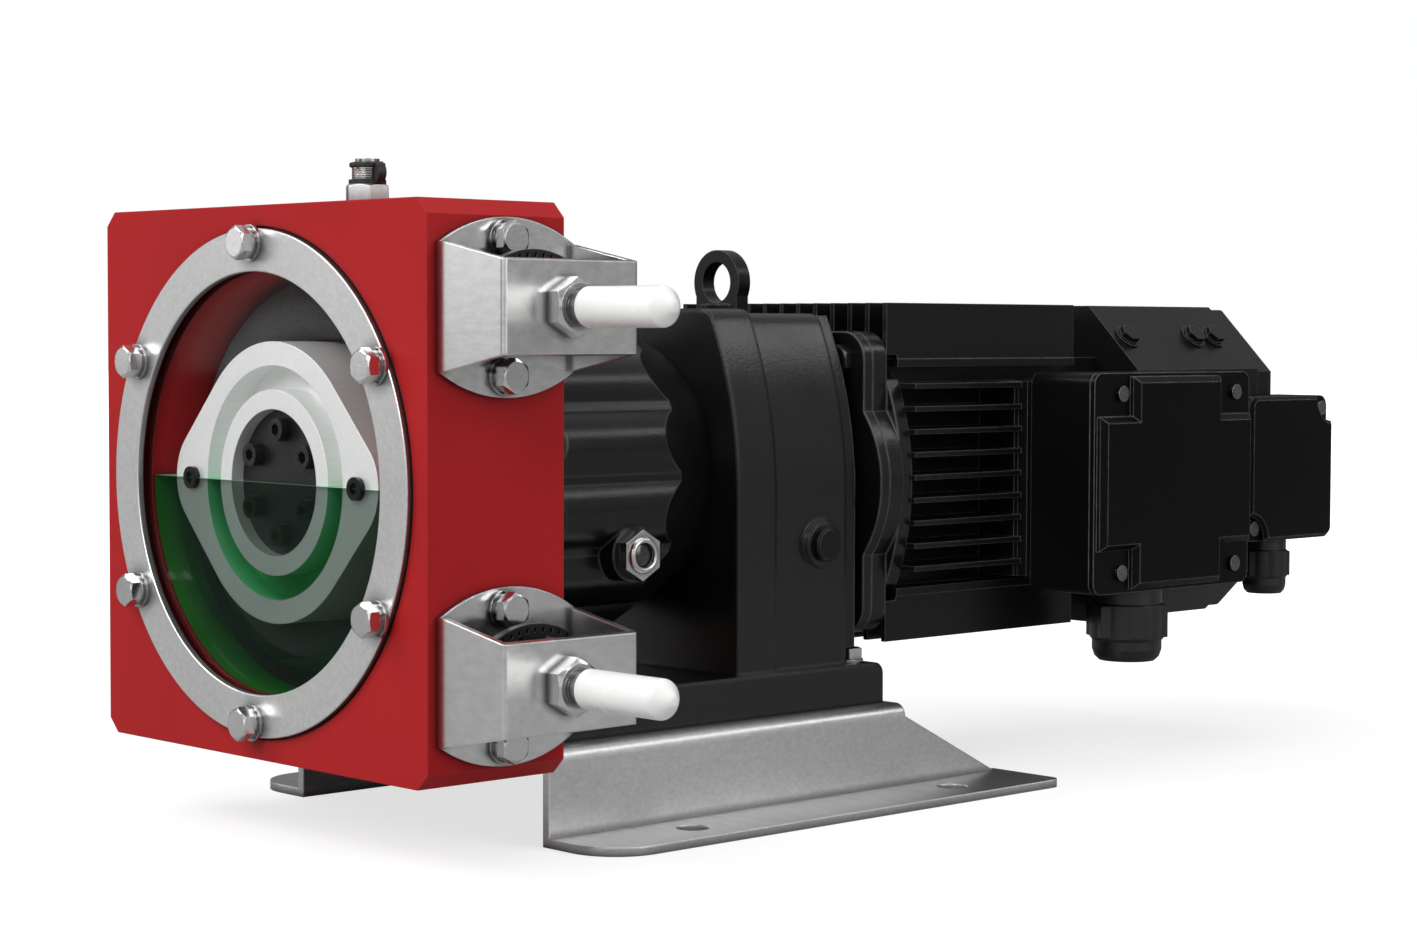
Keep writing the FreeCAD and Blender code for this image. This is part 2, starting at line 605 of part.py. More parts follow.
def bracket_bolts():
    body = new_body("bracket_bolts", BRACKET_FACE, "hose_station")
    for height in side_places():
        head = side_sketch(body, "washer_thick + spring_thick")
        hexagon(head, "0", height, "hex_flats")
        pad(body, head, "hex_height")
        top = "(washer_thick + spring_thick + hex_height)"
        crowned(body, cross_sketch(body), top, height, "hex_flats", "-")
        shank = side_sketch(body, "washer_thick + spring_thick")
        circle(shank, "0", height, "bolt")
        pad(body, shank, "bolt * 4.5 + washer_thick", back=False)


def bracket_washers():
    body = new_body("bracket_washers", BRACKET_FACE, "hose_station")
    stack = (("0", "washer", "washer_thick"),
             ("washer_thick + stack_gap", "spring_washer", "spring_thick - stack_gap"))
    for height in side_places():
        for start, radius, thick in stack:
            face = side_sketch(body, start)
            circle(face, "0", height, radius)
            circle(face, "0", height, "bolt + bolt_gap")
            pad(body, face, thick)


def hose_clamps():
    """Each clamp: a band round the hose and, above it, a bowed bar with slots that holds the worm."""
    body = new_body("hose_clamps", station="hose_station")
    start = "(hose_end - clamp_inset - clamp_width)"
    bar = "(hose_end - clamp_inset - clamp_bar)"
    for sign in ("", "-"):
        middle = sign + "hose_arc"
        band = side_sketch(body, start)
        circle(band, "0", middle, "hose + clamp_thick")
        circle(band, "0", middle, "hose")
        pad(body, band, "clamp_width")
        worm = side_sketch(body, bar)
        top, low = "(%s + clamp_crown)" % middle, "(%s + clamp_crown - 4)" % middle
        spread = "clamp_spread"
        drop = "(clamp_spread ^ 2 / (2 * clamp_bow))"
        foot = "%s + hose + clamp_thick * 0.5" % middle
        outline(worm, [("-6", foot), ("6", foot),
                       ("6", "%s - 0.6" % low), (spread, "%s - %s" % (low, drop)),
                       (spread, "%s - %s" % (top, drop), "clamp_bow"),
                       ("-" + spread, "%s - %s" % (top, drop)), ("-" + spread, "%s - %s" % (low, drop)),
                       ("-6", "%s - 0.6" % low)])
        pad(body, worm, "clamp_bar")
        slot = side_sketch(body, "%s + clamp_bar" % bar)
        for k in range(-4, 5):
            x = "(clamp_slot * %d)" % k
            fall = "(%s ^ 2 / (2 * clamp_bow))" % x
            slot_low, slot_top = "%s - %s + 0.8" % (low, fall), "%s - %s - 1" % (top, fall)
            outline(slot, [("%s - 0.5" % x, slot_low), ("%s + 0.7" % x, slot_low),
                           ("%s + 1.5" % x, slot_top), ("%s + 0.3" % x, slot_top)])
        pocket(body, slot, "1.2", back=False)


def port_nipples():
    body = new_body("port_nipples", station="hose_station")
    for sign in ("", "-"):
        profile = cross_sketch(body)
        start = "hose_end - hose_lip"
        steps = [(start, "nipple_bore"), (start, "nipple - 0.4"), ("%s + 2" % start, "nipple"),
                 ("hose_end", "nipple"), ("hose_end", "nipple_collar"),
                 ("%s - bracket_sheet" % NOSE_FACE, "nipple_collar"),
                 ("%s - bracket_sheet" % NOSE_FACE, "nipple_thread"),
                 ("%s + locknut_thick" % NOSE_FACE, "nipple_thread"),
                 ("%s + locknut_thick" % NOSE_FACE, "nipple"),
                 ("%s + nipple_length" % NOSE_FACE, "nipple"),
                 ("%s + nipple_length" % NOSE_FACE, "nipple_bore")]
        outline(profile, [(x, "%shose_arc + %s" % (sign, r)) for x, r in reversed(steps)])
        axis_line(profile, ("0", sign + "hose_arc"), ("hose_end", sign + "hose_arc"))
        turned(body, profile, "Axis0")


def port_locknuts():
    body = new_body("port_locknuts", NOSE_FACE, "hose_station")
    for sign in ("", "-"):
        face = side_sketch(body)
        hexagon(face, "0", sign + "hose_arc", "locknut_flats")
        circle(face, "0", sign + "hose_arc", "nipple_thread + run_gap")
        pad(body, face, "locknut_thick")
        crowned(body, cross_sketch(body), "locknut_thick", sign + "hose_arc", "locknut_flats", "-")


def port_cap(label, height):
    body = new_body(label, NOSE_FACE, "hose_station", height)
    profile = cross_sketch(body)
    start, end = "port_cap_start", "(port_cap_start + port_cap_length)"
    wall = "nipple + port_cap_gap"
    outline(profile, [(start, wall), ("nipple_length + 1", wall), ("nipple_length + 1", "0"), (end, "0"),
                      (end, "port_cap * 0.25"), ("%s - port_cap * 0.75" % end, "port_cap"),
                      (start, "port_cap")][::-1])
    turned(body, profile)
    rounded_edges(body, "port_cap * 0.4", lambda edge: edge.BoundBox.XLength < 0.01
                  and edge.CenterOfMass.x > number("%s - port_cap" % end))


# Rotor and shaft

def lens(sketch, gap="0"):
    """The rotor's outline: a round hub drawn out by tangents to two shoe noses."""
    hub, nose = "(rotor_radius + %s)" % gap, "(shoe_nose + %s)" % gap
    cosine = "((rotor_radius - shoe_nose) / shoe_offset)"
    sine = "sqrt(1 - %s ^ 2)" % cosine
    hub_x, hub_z = "%s * %s" % (hub, cosine), "%s * %s" % (hub, sine)
    nose_x, nose_z = "(shoe_offset + %s * %s)" % (nose, cosine), "%s * %s" % (nose, sine)
    outline(sketch, [
        (nose_x, "-" + nose_z, nose), (nose_x, nose_z), (hub_x, hub_z, hub), ("-" + hub_x, hub_z),
        ("-" + nose_x, nose_z, nose), ("-" + nose_x, "-" + nose_z), ("-" + hub_x, "-" + hub_z, hub),
        (hub_x, "-" + hub_z)])


def rotor():
    body = new_body("rotor")
    shape = cross_sketch(body, "rotor_front")
    lens(shape)
    pad(body, shape, "rotor_rear - rotor_front")
    groove = cross_sketch(body, "rotor_front")
    circle(groove, "0", "0", "groove_outer")
    circle(groove, "0", "0", "hub_ring")
    pocket(body, groove, "groove_depth")
    for radius, depth in (("hub_recess", "recess_floor"), ("shaft", "rotor_rear - rotor_front")):
        bore = cross_sketch(body, "rotor_front")
        circle(bore, "0", "0", radius)
        pocket(body, bore, depth)
    slot = cross_sketch(body, "rotor_rear")
    for sign in ("", "-"):
        rectangle(slot, sign + "shoe_seat", "-shoe_half", sign + "(shoe_offset + shoe_nose * 1.1)",
                  "shoe_half")
    pocket(body, slot, "rotor_rear - shoe_front", back=False)
    keyway = cross_sketch(body, "rotor_rear")
    rectangle(keyway, "-key_width / 2", "0", "key_width / 2", "shaft + key_height * 0.45")
    pocket(body, keyway, "key_length", back=False)
    screw = cross_sketch(body, "rotor_front")
    for sign in ("", "-"):
        circle(screw, sign + "shoe_screw_side", "0", "small_screw")
    pocket(body, screw, "shoe_front - rotor_front")
    hub = cross_sketch(body, HUB_FLOOR)
    circle(hub, "0", "hub_screw_circle", "small_screw")
    around(body, [pocket(body, hub, "9")], 6)


def press_shoes():
    body = new_body("press_shoes")
    front = "shoe_front + shoe_gap"
    reach = "sqrt(shoe_nose ^ 2 - (shoe_half - shoe_gap) ^ 2)"
    inner = "shoe_seat + shoe_gap"
    half = "(shoe_half - shoe_gap)"
    face = cross_sketch(body, front)
    outline(face, [(inner, "-" + half), ("shoe_offset + " + reach, "-" + half, "shoe_nose"),
                   ("shoe_offset + " + reach, half), (inner, half)])
    shoe = pad(body, face, "rotor_rear - shoe_front - shoe_gap")
    hole = cross_sketch(body, front)
    circle(hole, "shoe_screw_side", "0", "small_screw")
    cut = pocket(body, hole, "12")
    around(body, [shoe, cut], 2)


def rotor_screws():
    body = new_body("rotor_screws")
    front = "(%s - hub_plate_thick)" % HUB_FLOOR
    for x, z, station, grip, count in (("0", "hub_screw_circle", front, "hub_plate_thick + 8", 6),
                                       ("shoe_screw_side", "0", "rotor_front", "24", 2)):
        head = cross_sketch(body, station)
        circle(head, x, z, "small_head")
        hexagon(head, x, z, "small_head")
        tall = "small_head_tall" if count == 6 else "small_head_tall * 0.5"
        socket = pad(body, head, tall, back=False)
        shank = cross_sketch(body, station)
        circle(shank, x, z, "small_screw")
        stem = pad(body, shank, grip)
        skin = cross_sketch(body, station)
        circle(skin, x, z, "small_head")
        seat = pad(body, skin, "1", back=False)
        around(body, [socket, stem, seat], count)


def rotor_hub_plate():
    body = new_body("rotor_hub_plate", station="%s - hub_plate_thick" % HUB_FLOOR)
    face = cross_sketch(body)
    circle(face, "0", "0", "hub_recess - 0.2")
    pad(body, face, "hub_plate_thick")
    hole = cross_sketch(body)
    circle(hole, "0", "hub_screw_circle", "small_screw")
    around(body, [pocket(body, hole, "hub_plate_thick")], 6)


def output_shaft():
    body = new_body("output_shaft")
    profile = side_sketch(body)
    outline(profile, [(HUB_FLOOR, "0"), ("output_shaft_end", "0"), ("output_shaft_end", "shaft - 1"),
                      ("output_shaft_end - 1", "shaft"), ("%s + 1" % HUB_FLOOR, "shaft"),
                      (HUB_FLOOR, "shaft - 1")])
    turned(body, profile)
    keyway = cross_sketch(body, "rotor_rear")
    rectangle(keyway, "-key_width / 2", "shaft - key_height * 0.55", "key_width / 2", "shaft + 1")
    pocket(body, keyway, "key_length", back=False)


def rotor_key():
    body = new_body("rotor_key", station="rotor_rear - key_length")
    face = cross_sketch(body)
    rectangle(face, "-key_width / 2 + run_gap", "shaft - key_height * 0.55 + run_gap",
              "key_width / 2 - run_gap", "shaft + key_height * 0.45 - run_gap")
    pad(body, face, "key_length - run_gap")


def shaft_seal():
    body = new_body("shaft_seal", station="%s + seal_inset" % CAVITY_FLOOR)
    ring_at(body, "0", "0", "0", "shaft + run_gap", "seal_outer", "seal_width")


def ring_at(body, station, x, z, bore, outer, width):
    face = cross_sketch(body, station)
    circle(face, x, z, outer)
    circle(face, x, z, bore)
    return pad(body, face, width)


# Gearbox

def bearing_barrel():
    body = new_body("bearing_barrel", station="block_depth")
    length = "(barrel_end - block_depth)"
    profile = side_sketch(body)
    outline(profile, [("0", "0"), (length, "0"), (length, "barrel"), ("flange_thick", "barrel"),
                      ("flange_thick", "barrel_flange"), ("0", "barrel_flange")])
    turned(body, profile)
    lobe = cross_sketch(body, "flange_thick")
    circle(lobe, "0", "lobe_tip - lobe", "lobe")
    around(body, [pad(body, lobe, "%s - flange_thick" % length)], int(number("lobes")))
    outside = side_sketch(body)
    outline(outside, [("flange_thick", "barrel_throat"), ("flange_thick + barrel_swell", "lobe_tip + 1"),
                      ("%s - barrel_taper" % length, "lobe_tip + 1"), (length, "barrel_tail"),
                      (length, "barrel_flange"), ("flange_thick", "barrel_flange")])
    turned_away(body, outside)
    boss = side_sketch(body)
    circle(boss, "sight_station - block_depth", "-sight_height", "sight_flats * 0.62")
    pad(body, boss, "sight_face")
    for station, radius, depth in (("0", "shaft + 4", length),
                                   ("front_bearing - block_depth", "bearing_outer",
                                    "barrel_end - front_bearing")):
        bore = cross_sketch(body, station)
        circle(bore, "0", "0", radius)
        pocket(body, bore, depth)
    thread = side_sketch(body, "sight_face")
    circle(thread, "sight_station - block_depth", "-sight_height", "sight_flats * 0.35")
    pocket(body, thread, "sight_face - bearing_outer - 2", back=False)
    hole = cross_sketch(body)
    circle(hole, "0", "flange_circle", "bolt + bolt_gap")
    around(body, [pocket(body, hole, "flange_thick")], 6)


def output_bearings():
    body = new_body("output_bearings")
    for station in ("front_bearing", "rear_bearing"):
        ring_at(body, station, "0", "0", "shaft + run_gap", "bearing_outer", "bearing_width")


def case_corners(inset, bottom):
    """The gear case's outline across the axis, drawn in by inset: upright below, arched to its top."""
    side, top = "(case_half - %s)" % inset, "(case_top - %s)" % inset
    shoulder = "(case_shoulder - %s)" % inset
    run, rise = "(case_half - case_shoulder)", "(case_top + case_waist - %s)" % inset
    arch = "((%s ^ 2 + %s ^ 2) / (2 * %s))" % (run, rise, run)
    return [(side, bottom), (side, "-case_waist", arch), (shoulder, top), ("-" + shoulder, top, arch),
            ("-" + side, "-case_waist"), ("-" + side, bottom)]


def gear_case():
    body = new_body("gear_case", station=CASE_FRONT)
    deck = "-" + DECK
    foot_top = "(%s + foot_thick)" % deck
    shell = cross_sketch(body)
    outline(shell, case_corners("case_band_rise", "(%s - 1)" % foot_top))
    pad(body, shell, "case_length")
    band = cross_sketch(body)
    outline(band, case_corners("0", "(%s - 1)" % foot_top))
    pad(body, band, "case_band")
    y_axis = Vector(0, 1, 0)
    rounded_edges(body, "case_round", lambda edge: straight_along(edge, y_axis)
                  and edge.CenterOfMass.z > number("case_top * 0.5"))
    foot = cross_sketch(body, "foot_front - %s" % CASE_FRONT)
    rectangle(foot, "-foot_half", deck, "foot_half", foot_top)
    pad(body, foot, "foot_rear - foot_front")
    rounded_edges(body, "foot_round", lambda edge: straight_along(edge, Vector(1, 0, 0))
                  and abs(edge.CenterOfMass.z - number(foot_top)) < 0.01
                  and edge.CenterOfMass.y > number("foot_rear - barrel_end - 1"))
    lug = cross_sketch(body, "lug_front - %s" % CASE_FRONT)
    rectangle(lug, "-foot_half", deck, "foot_half", "%s + lug_thick" % deck)
    pad(body, lug, "foot_front - lug_front")
    boss = side_sketch(body)
    circle(boss, "side_plug_station - %s" % CASE_FRONT, "-side_plug_height", "side_plug * 1.4")
    pad(body, boss, "case_half + 1")
    cavity = cross_sketch(body, "case_front_wall")
    corners = case_corners("case_wall", "(%s + foot_thick * 0.7)" % foot_top)
    low = "(%s + sheet / 2)" % foot_top
    outline(cavity, [("-case_half * 0.68", low), ("case_half * 0.68", low)] + corners)
    pocket(body, cavity, "case_length")
    passage = cross_sketch(body)
    circle(passage, "0", "0", "shaft_pass")
    pocket(body, passage, "case_front_wall")
    bearing = cross_sketch(body, "case_front_wall")
    circle(bearing, "0", "-" + OUTPUT_CENTRES, "counter_bearing")
    pocket(body, bearing, "counter_bearing_width", back=False)
    thread = side_sketch(body, "case_half + 1")
    circle(thread, "side_plug_station - %s" % CASE_FRONT, "-side_plug_height", "side_plug * 0.6")
    pocket(body, thread, "6", back=False)
    eye = level_sketch(body, "case_top")
    circle(eye, "0", "eye_station - %s" % CASE_FRONT, "bolt")
    pocket(body, eye, "case_wall * 0.9", back=False)
    holes = level_sketch(body, deck)
    for side, station in foot_places(CASE_FRONT):
        circle(holes, side, station, "bolt + bolt_gap")
    pocket(body, holes, "foot_thick + 5")


def foot_places(origin):
    """Sides and stations of the four foot bolts, seen from a body's origin station."""
    return [(sign + "foot_bolt_side", "%s - %s" % (station, origin))
            for station in ("foot_bolt_front", "foot_bolt_rear") for sign in ("", "-")]


def square_outline(sketch, drop):
    """The square motor flange: round corners, and a shallow bulge halfway up each side."""
    half, reach = "square_half", "(square_half - square_round)"
    arc = "((bulge_half ^ 2 + square_bulge ^ 2) / (2 * square_bulge))"
    right = [(reach, "(-%s - %s)" % (half, drop), "square_round"), (half, "(-%s - %s)" % (reach, drop)),
             (half, "(-bulge_half - %s)" % drop, arc), (half, "(bulge_half - %s)" % drop),
             (half, "(%s - %s)" % (reach, drop), "square_round"), (reach, "(%s - %s)" % (half, drop))]
    left = [("-" + reach, "(%s - %s)" % (half, drop), "square_round"),
            ("-" + half, "(%s - %s)" % (reach, drop)), ("-" + half, "(bulge_half - %s)" % drop, arc),
            ("-" + half, "(-bulge_half - %s)" % drop),
            ("-" + half, "(-%s - %s)" % (reach, drop), "square_round"),
            ("-" + reach, "(-%s - %s)" % (half, drop))]
    outline(sketch, right + left)


def input_cover():
    body = new_body("input_cover", station=CASE_REAR)
    foot_top = "(foot_thick - %s)" % DECK
    plate = cross_sketch(body)
    outline(plate, case_corners("case_band_rise * 1.5", "(%s + 0.3)" % foot_top))
    pad(body, plate, "cover_thick")
    neck = cross_sketch(body, "cover_thick")
    circle(neck, "0", "-" + MOTOR_DROP, "neck")
    pad(body, neck, "neck_length")
    square = cross_sketch(body, "cover_thick + neck_length")
    square_outline(square, MOTOR_DROP)
    pad(body, square, "square_thick")
    bore = cross_sketch(body)
    circle(bore, "0", "-" + MOTOR_DROP, "input_pass")
    pocket(body, bore, "cover_thick + neck_length + square_thick")
    bearing = cross_sketch(body)
    circle(bearing, "0", "-" + OUTPUT_CENTRES, "counter_bearing")
    pocket(body, bearing, "counter_bearing_width")
    holes = cross_sketch(body, "cover_thick + neck_length")
    for x, z in square_places():
        circle(holes, x, z, "bolt + bolt_gap")
    pocket(body, holes, "square_thick")
    relief = level_sketch(body, foot_top)
    for side, station in foot_places(CASE_REAR)[2:]:
        circle(relief, side, station, "hex_flats * 0.75")
    pocket(body, relief, "washer_thick + hex_height + 1")


def square_places():
    """The four corner bolts of the square motor flange, from the pump axis."""
    reach = "(square_half - square_round)"
    return [(sx + reach, "%s%s - %s" % (sz, reach, MOTOR_DROP)) for sx in ("", "-") for sz in ("", "-")]


def flange_bolts():
    body = new_body("flange_bolts")
    rear = "block_depth + flange_thick"
    around(body, hex_bolt(body, "0", "flange_circle", rear, "flange_thick + rear_wall - 2", sign="+"), 6)
    for x, z in square_places():
        hex_bolt(body, x, z, SQUARE_FRONT, "square_thick + motor_shield_thick - 2")


def countershaft_bearings():
    body = new_body("countershaft_bearings", height="-" + OUTPUT_CENTRES)
    for station in ("%s + case_front_wall - counter_bearing_width" % CASE_FRONT, CASE_REAR):
        ring_at(body, station, "0", "0", "counter_shaft + run_gap", "counter_bearing",
                "counter_bearing_width")


def tooth_outline(teeth, phase):
    """Corners of an involute gear of 25 degree pressure angle and short teeth."""
    module, slack = number("module"), number("backlash")
    pressure = math.radians(25)
    pitch, tip, root = module * teeth / 2, module * (teeth / 2 + 0.8), module * (teeth / 2 - 1.05)
    base = pitch * math.cos(pressure)
    start = max(base, root)

    def involute(radius):
        tangent = math.sqrt(max((radius / base) ** 2 - 1, 0))
        return tangent - math.atan(tangent)

    half = math.pi / teeth / 2 - slack / 2 / pitch + math.tan(pressure) - pressure
    points = []
    for k in range(teeth):
        centre = phase + 2 * math.pi * k / teeth
        flank = [(start + (tip - start) * step / 2, half - involute(start + (tip - start) * step / 2))
                 for step in range(3)]
        if root < start - 0.01:
            flank.insert(0, (root, flank[0][1]))
        for radius, angle in flank:
            points.append((radius, centre - angle))
        for radius, angle in reversed(flank):
            points.append((radius, centre + angle))
    return [Vector(r * math.sin(a), 0, r * math.cos(a)) for r, a in points]


def gear_prism(teeth, phase, width):
    corners = tooth_outline(teeth, phase)
    wire = Part.makePolygon(corners + corners[:1])
    return Part.Face(wire).extrude(Vector(0, width, 0))


def rod(radius, start, length):
    return Part.makeCylinder(radius, length, Vector(0, start, 0), Vector(0, 1, 0))


def new_shape(label, shape, station="0", height="0"):
    """A sub-part whose shape no sketch describes, with the same places as a body."""
    feature = doc.addObject("Part::Feature", label)
    feature.Label = label
    feature.Shape = shape
    feature.setExpression("Placement.Base.y", tied("%s - %s" % (station, SETBACK)))
    feature.setExpression("Placement.Base.z", tied("axis_height + %s" % height))
    parts.append(feature)
    return feature


def output_wheel():
    """The wheel on the output shaft; a tooth gap faces the countershaft below it."""
    teeth = int(number("output_teeth"))
    width = number("output_wheel_width")
    wheel = gear_prism(teeth, math.pi + math.pi / teeth, width)
    for front in (0, width - 4):
        wheel = wheel.cut(rod(number("module * output_teeth / 2 - 5"), front, 4)
                          .cut(rod(number("shaft + 7"), front, 4)))
    wheel = wheel.cut(rod(number("shaft"), 0, width))
    new_shape("output_wheel", wheel, "output_wheel_start")


def countershaft():
    """The countershaft with its pinion cut in one piece; a tooth faces the output wheel above."""
    teeth = int(number("counter_teeth"))
    front = number("%s + case_front_wall - counter_bearing_width - output_wheel_start" % CASE_FRONT)
    rear = number("%s + counter_bearing_width - output_wheel_start" % CASE_REAR)
    pinion = gear_prism(teeth, 0, number("output_wheel_width + 4"))
    pinion.translate(Vector(0, -2, 0))
    shaft = rod(number("counter_shaft"), front, rear - front)
    seat = rod(number("counter_shaft + 1.4"), number("output_wheel_width + 2"),
               number("wheel_start + wheel_width - output_wheel_start - output_wheel_width - 2"))
    new_shape("countershaft", shaft.fuse([pinion, seat]).removeSplitter(), "output_wheel_start",
              "-" + OUTPUT_CENTRES)


def counter_wheel():
    """The wheel on the countershaft; a tooth gap faces the input pinion above it."""
    teeth = int(number("wheel_teeth"))
    width = number("wheel_width")
    wheel = gear_prism(teeth, math.pi / teeth, width)
    for front in (0, width - 3):
        wheel = wheel.cut(rod(number("module * wheel_teeth / 2 - 5"), front, 3)
                          .cut(rod(number("counter_shaft + 8"), front, 3)))
    wheel = wheel.cut(rod(number("counter_shaft + 1.4"), 0, width))
    new_shape("counter_wheel", wheel, "wheel_start", "-" + OUTPUT_CENTRES)


def input_pinion():
    """The pinion on the motor shaft; a tooth points down at the countershaft's wheel."""
    teeth = int(number("input_teeth"))
    width = number("wheel_width + 4")
    pinion = gear_prism(teeth, math.pi, width).cut(rod(number("pinion_bore"), 0, width))
    new_shape("input_pinion", pinion, "wheel_start - 2", "-" + MOTOR_DROP)


def oil_sight_plug():
    body = new_body("oil_sight_plug", "sight_face", "sight_station", "-sight_height")
    face = side_sketch(body)
    hexagon(face, "0", "0", "sight_flats")
    circle(face, "0", "0", "sight_glass")
    pad(body, face, "sight_thick")
    stem = side_sketch(body)
    circle(stem, "0", "0", "sight_flats * 0.35")
    pad(body, stem, "10", back=False)
    pane = side_sketch(body)
    circle(pane, "0", "0", "sight_glass")
    pad(body, pane, "1.5")


def case_side_plug():
    body = new_body("case_side_plug", "case_half + 1", "side_plug_station", "-side_plug_height")
    profile = cross_sketch(body)
    outline(profile, [("-5.5", "0"), ("4", "0"), ("4", "side_plug - 1"), ("3", "side_plug"),
                      ("0", "side_plug"), ("0", "side_plug * 0.6"), ("-5.5", "side_plug * 0.6")][::-1])
    turned(body, profile)


def lifting_eye():
    """A round foot with a threaded stud, and a ring that stands on it with straight lower sides."""
    body = new_body("lifting_eye", "0", "eye_station", "case_top")
    profile = cross_sketch(body)
    outline(profile, [("0", "-eye_stud"), ("bolt", "-eye_stud"), ("bolt", "0"), ("eye_foot", "0"),
                      ("eye_foot", "eye_step * 0.75"), ("eye_thick / 2", "eye_step"), ("0", "eye_step")])
    turned(body, profile, "V_Axis")
    ring = cross_sketch(body)
    circle(ring, "0", "eye_rise", "eye_outer")
    stem = cross_sketch(body)
    rectangle(stem, "-eye_outer * 0.9", "0", "eye_outer * 0.9", "eye_rise")
    for face in (ring, stem):
        pad(body, face, "eye_thick").Midplane = True
    trim = level_sketch(body)
    rectangle(trim, "-eye_outer", "-eye_thick", "eye_outer", "eye_thick")
    pocket(body, trim, "eye_outer", back=False)
    hole = cross_sketch(body)
    circle(hole, "0", "eye_rise", "eye_bore")
    pocket(body, hole, "eye_thick").Midplane = True
    stud = level_sketch(body)
    circle(stud, "0", "0", "bolt")
    pad(body, stud, "eye_stud", back=False)


# Base

def base_frame():
    body = new_body("base_frame", station="base_front", height="-axis_height")
    run = cross_sketch(body)
    rise = "base_rise"
    corners = [("-base_half", "0"), ("-(web_half - sheet)", "0"),
               ("-(web_half - sheet)", "(%s - sheet)" % rise), ("(web_half - sheet)", "(%s - sheet)" % rise),
               ("(web_half - sheet)", "0"), ("base_half", "0"), ("base_half", "sheet"),
               ("web_half", "sheet"), ("web_half", "(%s - sheet * 1.5)" % rise, "sheet * 1.5"),
               ("(web_half - sheet * 1.5)", rise), ("-(web_half - sheet * 1.5)", rise, "sheet * 1.5"),
               ("-web_half", "(%s - sheet * 1.5)" % rise), ("-web_half", "sheet"), ("-base_half", "sheet")]
    outline(run, corners)
    pad(body, run, "base_length")
    tail = side_sketch(body, "-base_half")
    outline(tail, [("base_deck_length", "%s - base_tail_rise" % rise),
                   ("base_deck_length + base_tail_slope", "sheet"), ("base_length + 1", "sheet"),
                   ("base_length + 1", "%s + 1" % rise), ("base_deck_length", "%s + 1" % rise)])
    pocket(body, tail, "base_half * 2")
    rounded_edges(body, "base_corner", lambda edge: straight_along(edge, Vector(0, 0, 1))
                  and abs(edge.CenterOfMass.x) > number("base_half - 1") and edge.CenterOfMass.y < 1)
    rounded_edges(body, "base_tail_corner", lambda edge: straight_along(edge, Vector(0, 0, 1))
                  and abs(edge.CenterOfMass.x) > number("base_half - 1")
                  and edge.CenterOfMass.y > number("base_length - 1"))
    holes = level_sketch(body)
    for sx in ("", "-"):
        for station in ("hole_inset", "(hole_inset + hole_pitch_long)"):
            circle(holes, sx + "hole_pitch_wide / 2", station, "base_hole")
    pocket(body, holes, "sheet")
    deck = level_sketch(body, "%s - sheet" % rise)
    for side, station in foot_places("base_front"):
        circle(deck, side, station, "bolt + bolt_gap")
    pocket(body, deck, "sheet")


def foot_fasteners():
    """Foot bolts with a washer under each head, and a washer and a nut under the deck."""
    body = new_body("foot_fasteners", height="-" + DECK)
    for k, (side, station) in enumerate(foot_places("0")):
        pad_top = "lug_thick" if k < 2 else "foot_thick"
        rise = "(%s + washer_thick)" % pad_top
        head = level_sketch(body, rise)
        hexagon(head, side, station, "hex_flats")
        pad(body, head, "hex_height")
        shank = level_sketch(body, rise)
        circle(shank, side, station, "bolt")
        pad(body, shank, "%s + sheet + washer_thick + hex_height + 3" % rise, back=False)
        for start, thick, back in ((pad_top, "washer_thick - stack_gap", True),
                                   ("-sheet", "washer_thick", False)):
            face = level_sketch(body, start)
            circle(face, side, station, "washer")
            circle(face, side, station, "bolt + bolt_gap")
            pad(body, face, thick, back=back)
        nut = level_sketch(body, "-(sheet + washer_thick + stack_gap)")
        hexagon(nut, side, station, "hex_flats")
        circle(nut, side, station, "bolt + stack_gap")
        pad(body, nut, "hex_height", back=False)


# Motor

def motor_end_shield():
    body = new_body("motor_end_shield", station=SHIELD_FRONT, height="-" + MOTOR_DROP)
    square = cross_sketch(body)
    square_outline(square, "0")
    pad(body, square, "motor_shield_thick")
    rim = cross_sketch(body, "motor_shield_thick")
    swell = "(rim_half - square_half)"
    arc = "((rim_reach ^ 2 + %s ^ 2) / (2 * %s))" % (swell, swell)
    high, low, corner = "(frame_core + 1)", "(frame_low + 1)", "(square_half - square_round)"
    outline(rim, [(corner, "-" + low), ("square_half", "-rim_reach", arc), ("square_half", "rim_reach"),
                  (corner, high), ("-" + corner, high), ("-square_half", "rim_reach", arc),
                  ("-square_half", "-rim_reach"), ("-" + corner, "-" + low)])
    pad(body, rim, "shield_rim")
    spigot = cross_sketch(body, "motor_shield_thick + shield_rim")
    circle(spigot, "0", "0", "frame_bore")
    pad(body, spigot, "shield_rim")
    depth = "(motor_shield_thick + shield_rim * 2)"
    bore = cross_sketch(body)
    circle(bore, "0", "0", "motor_shaft + 2")
    pocket(body, bore, depth)
    seat = cross_sketch(body, depth)
    circle(seat, "0", "0", "motor_bearing")
    pocket(body, seat, "motor_bearing_width", back=False)
    holes = cross_sketch(body)
    for x, z in square_places():
        circle(holes, x, "%s + %s" % (z, MOTOR_DROP), "bolt")
    pocket(body, holes, "motor_shield_thick")


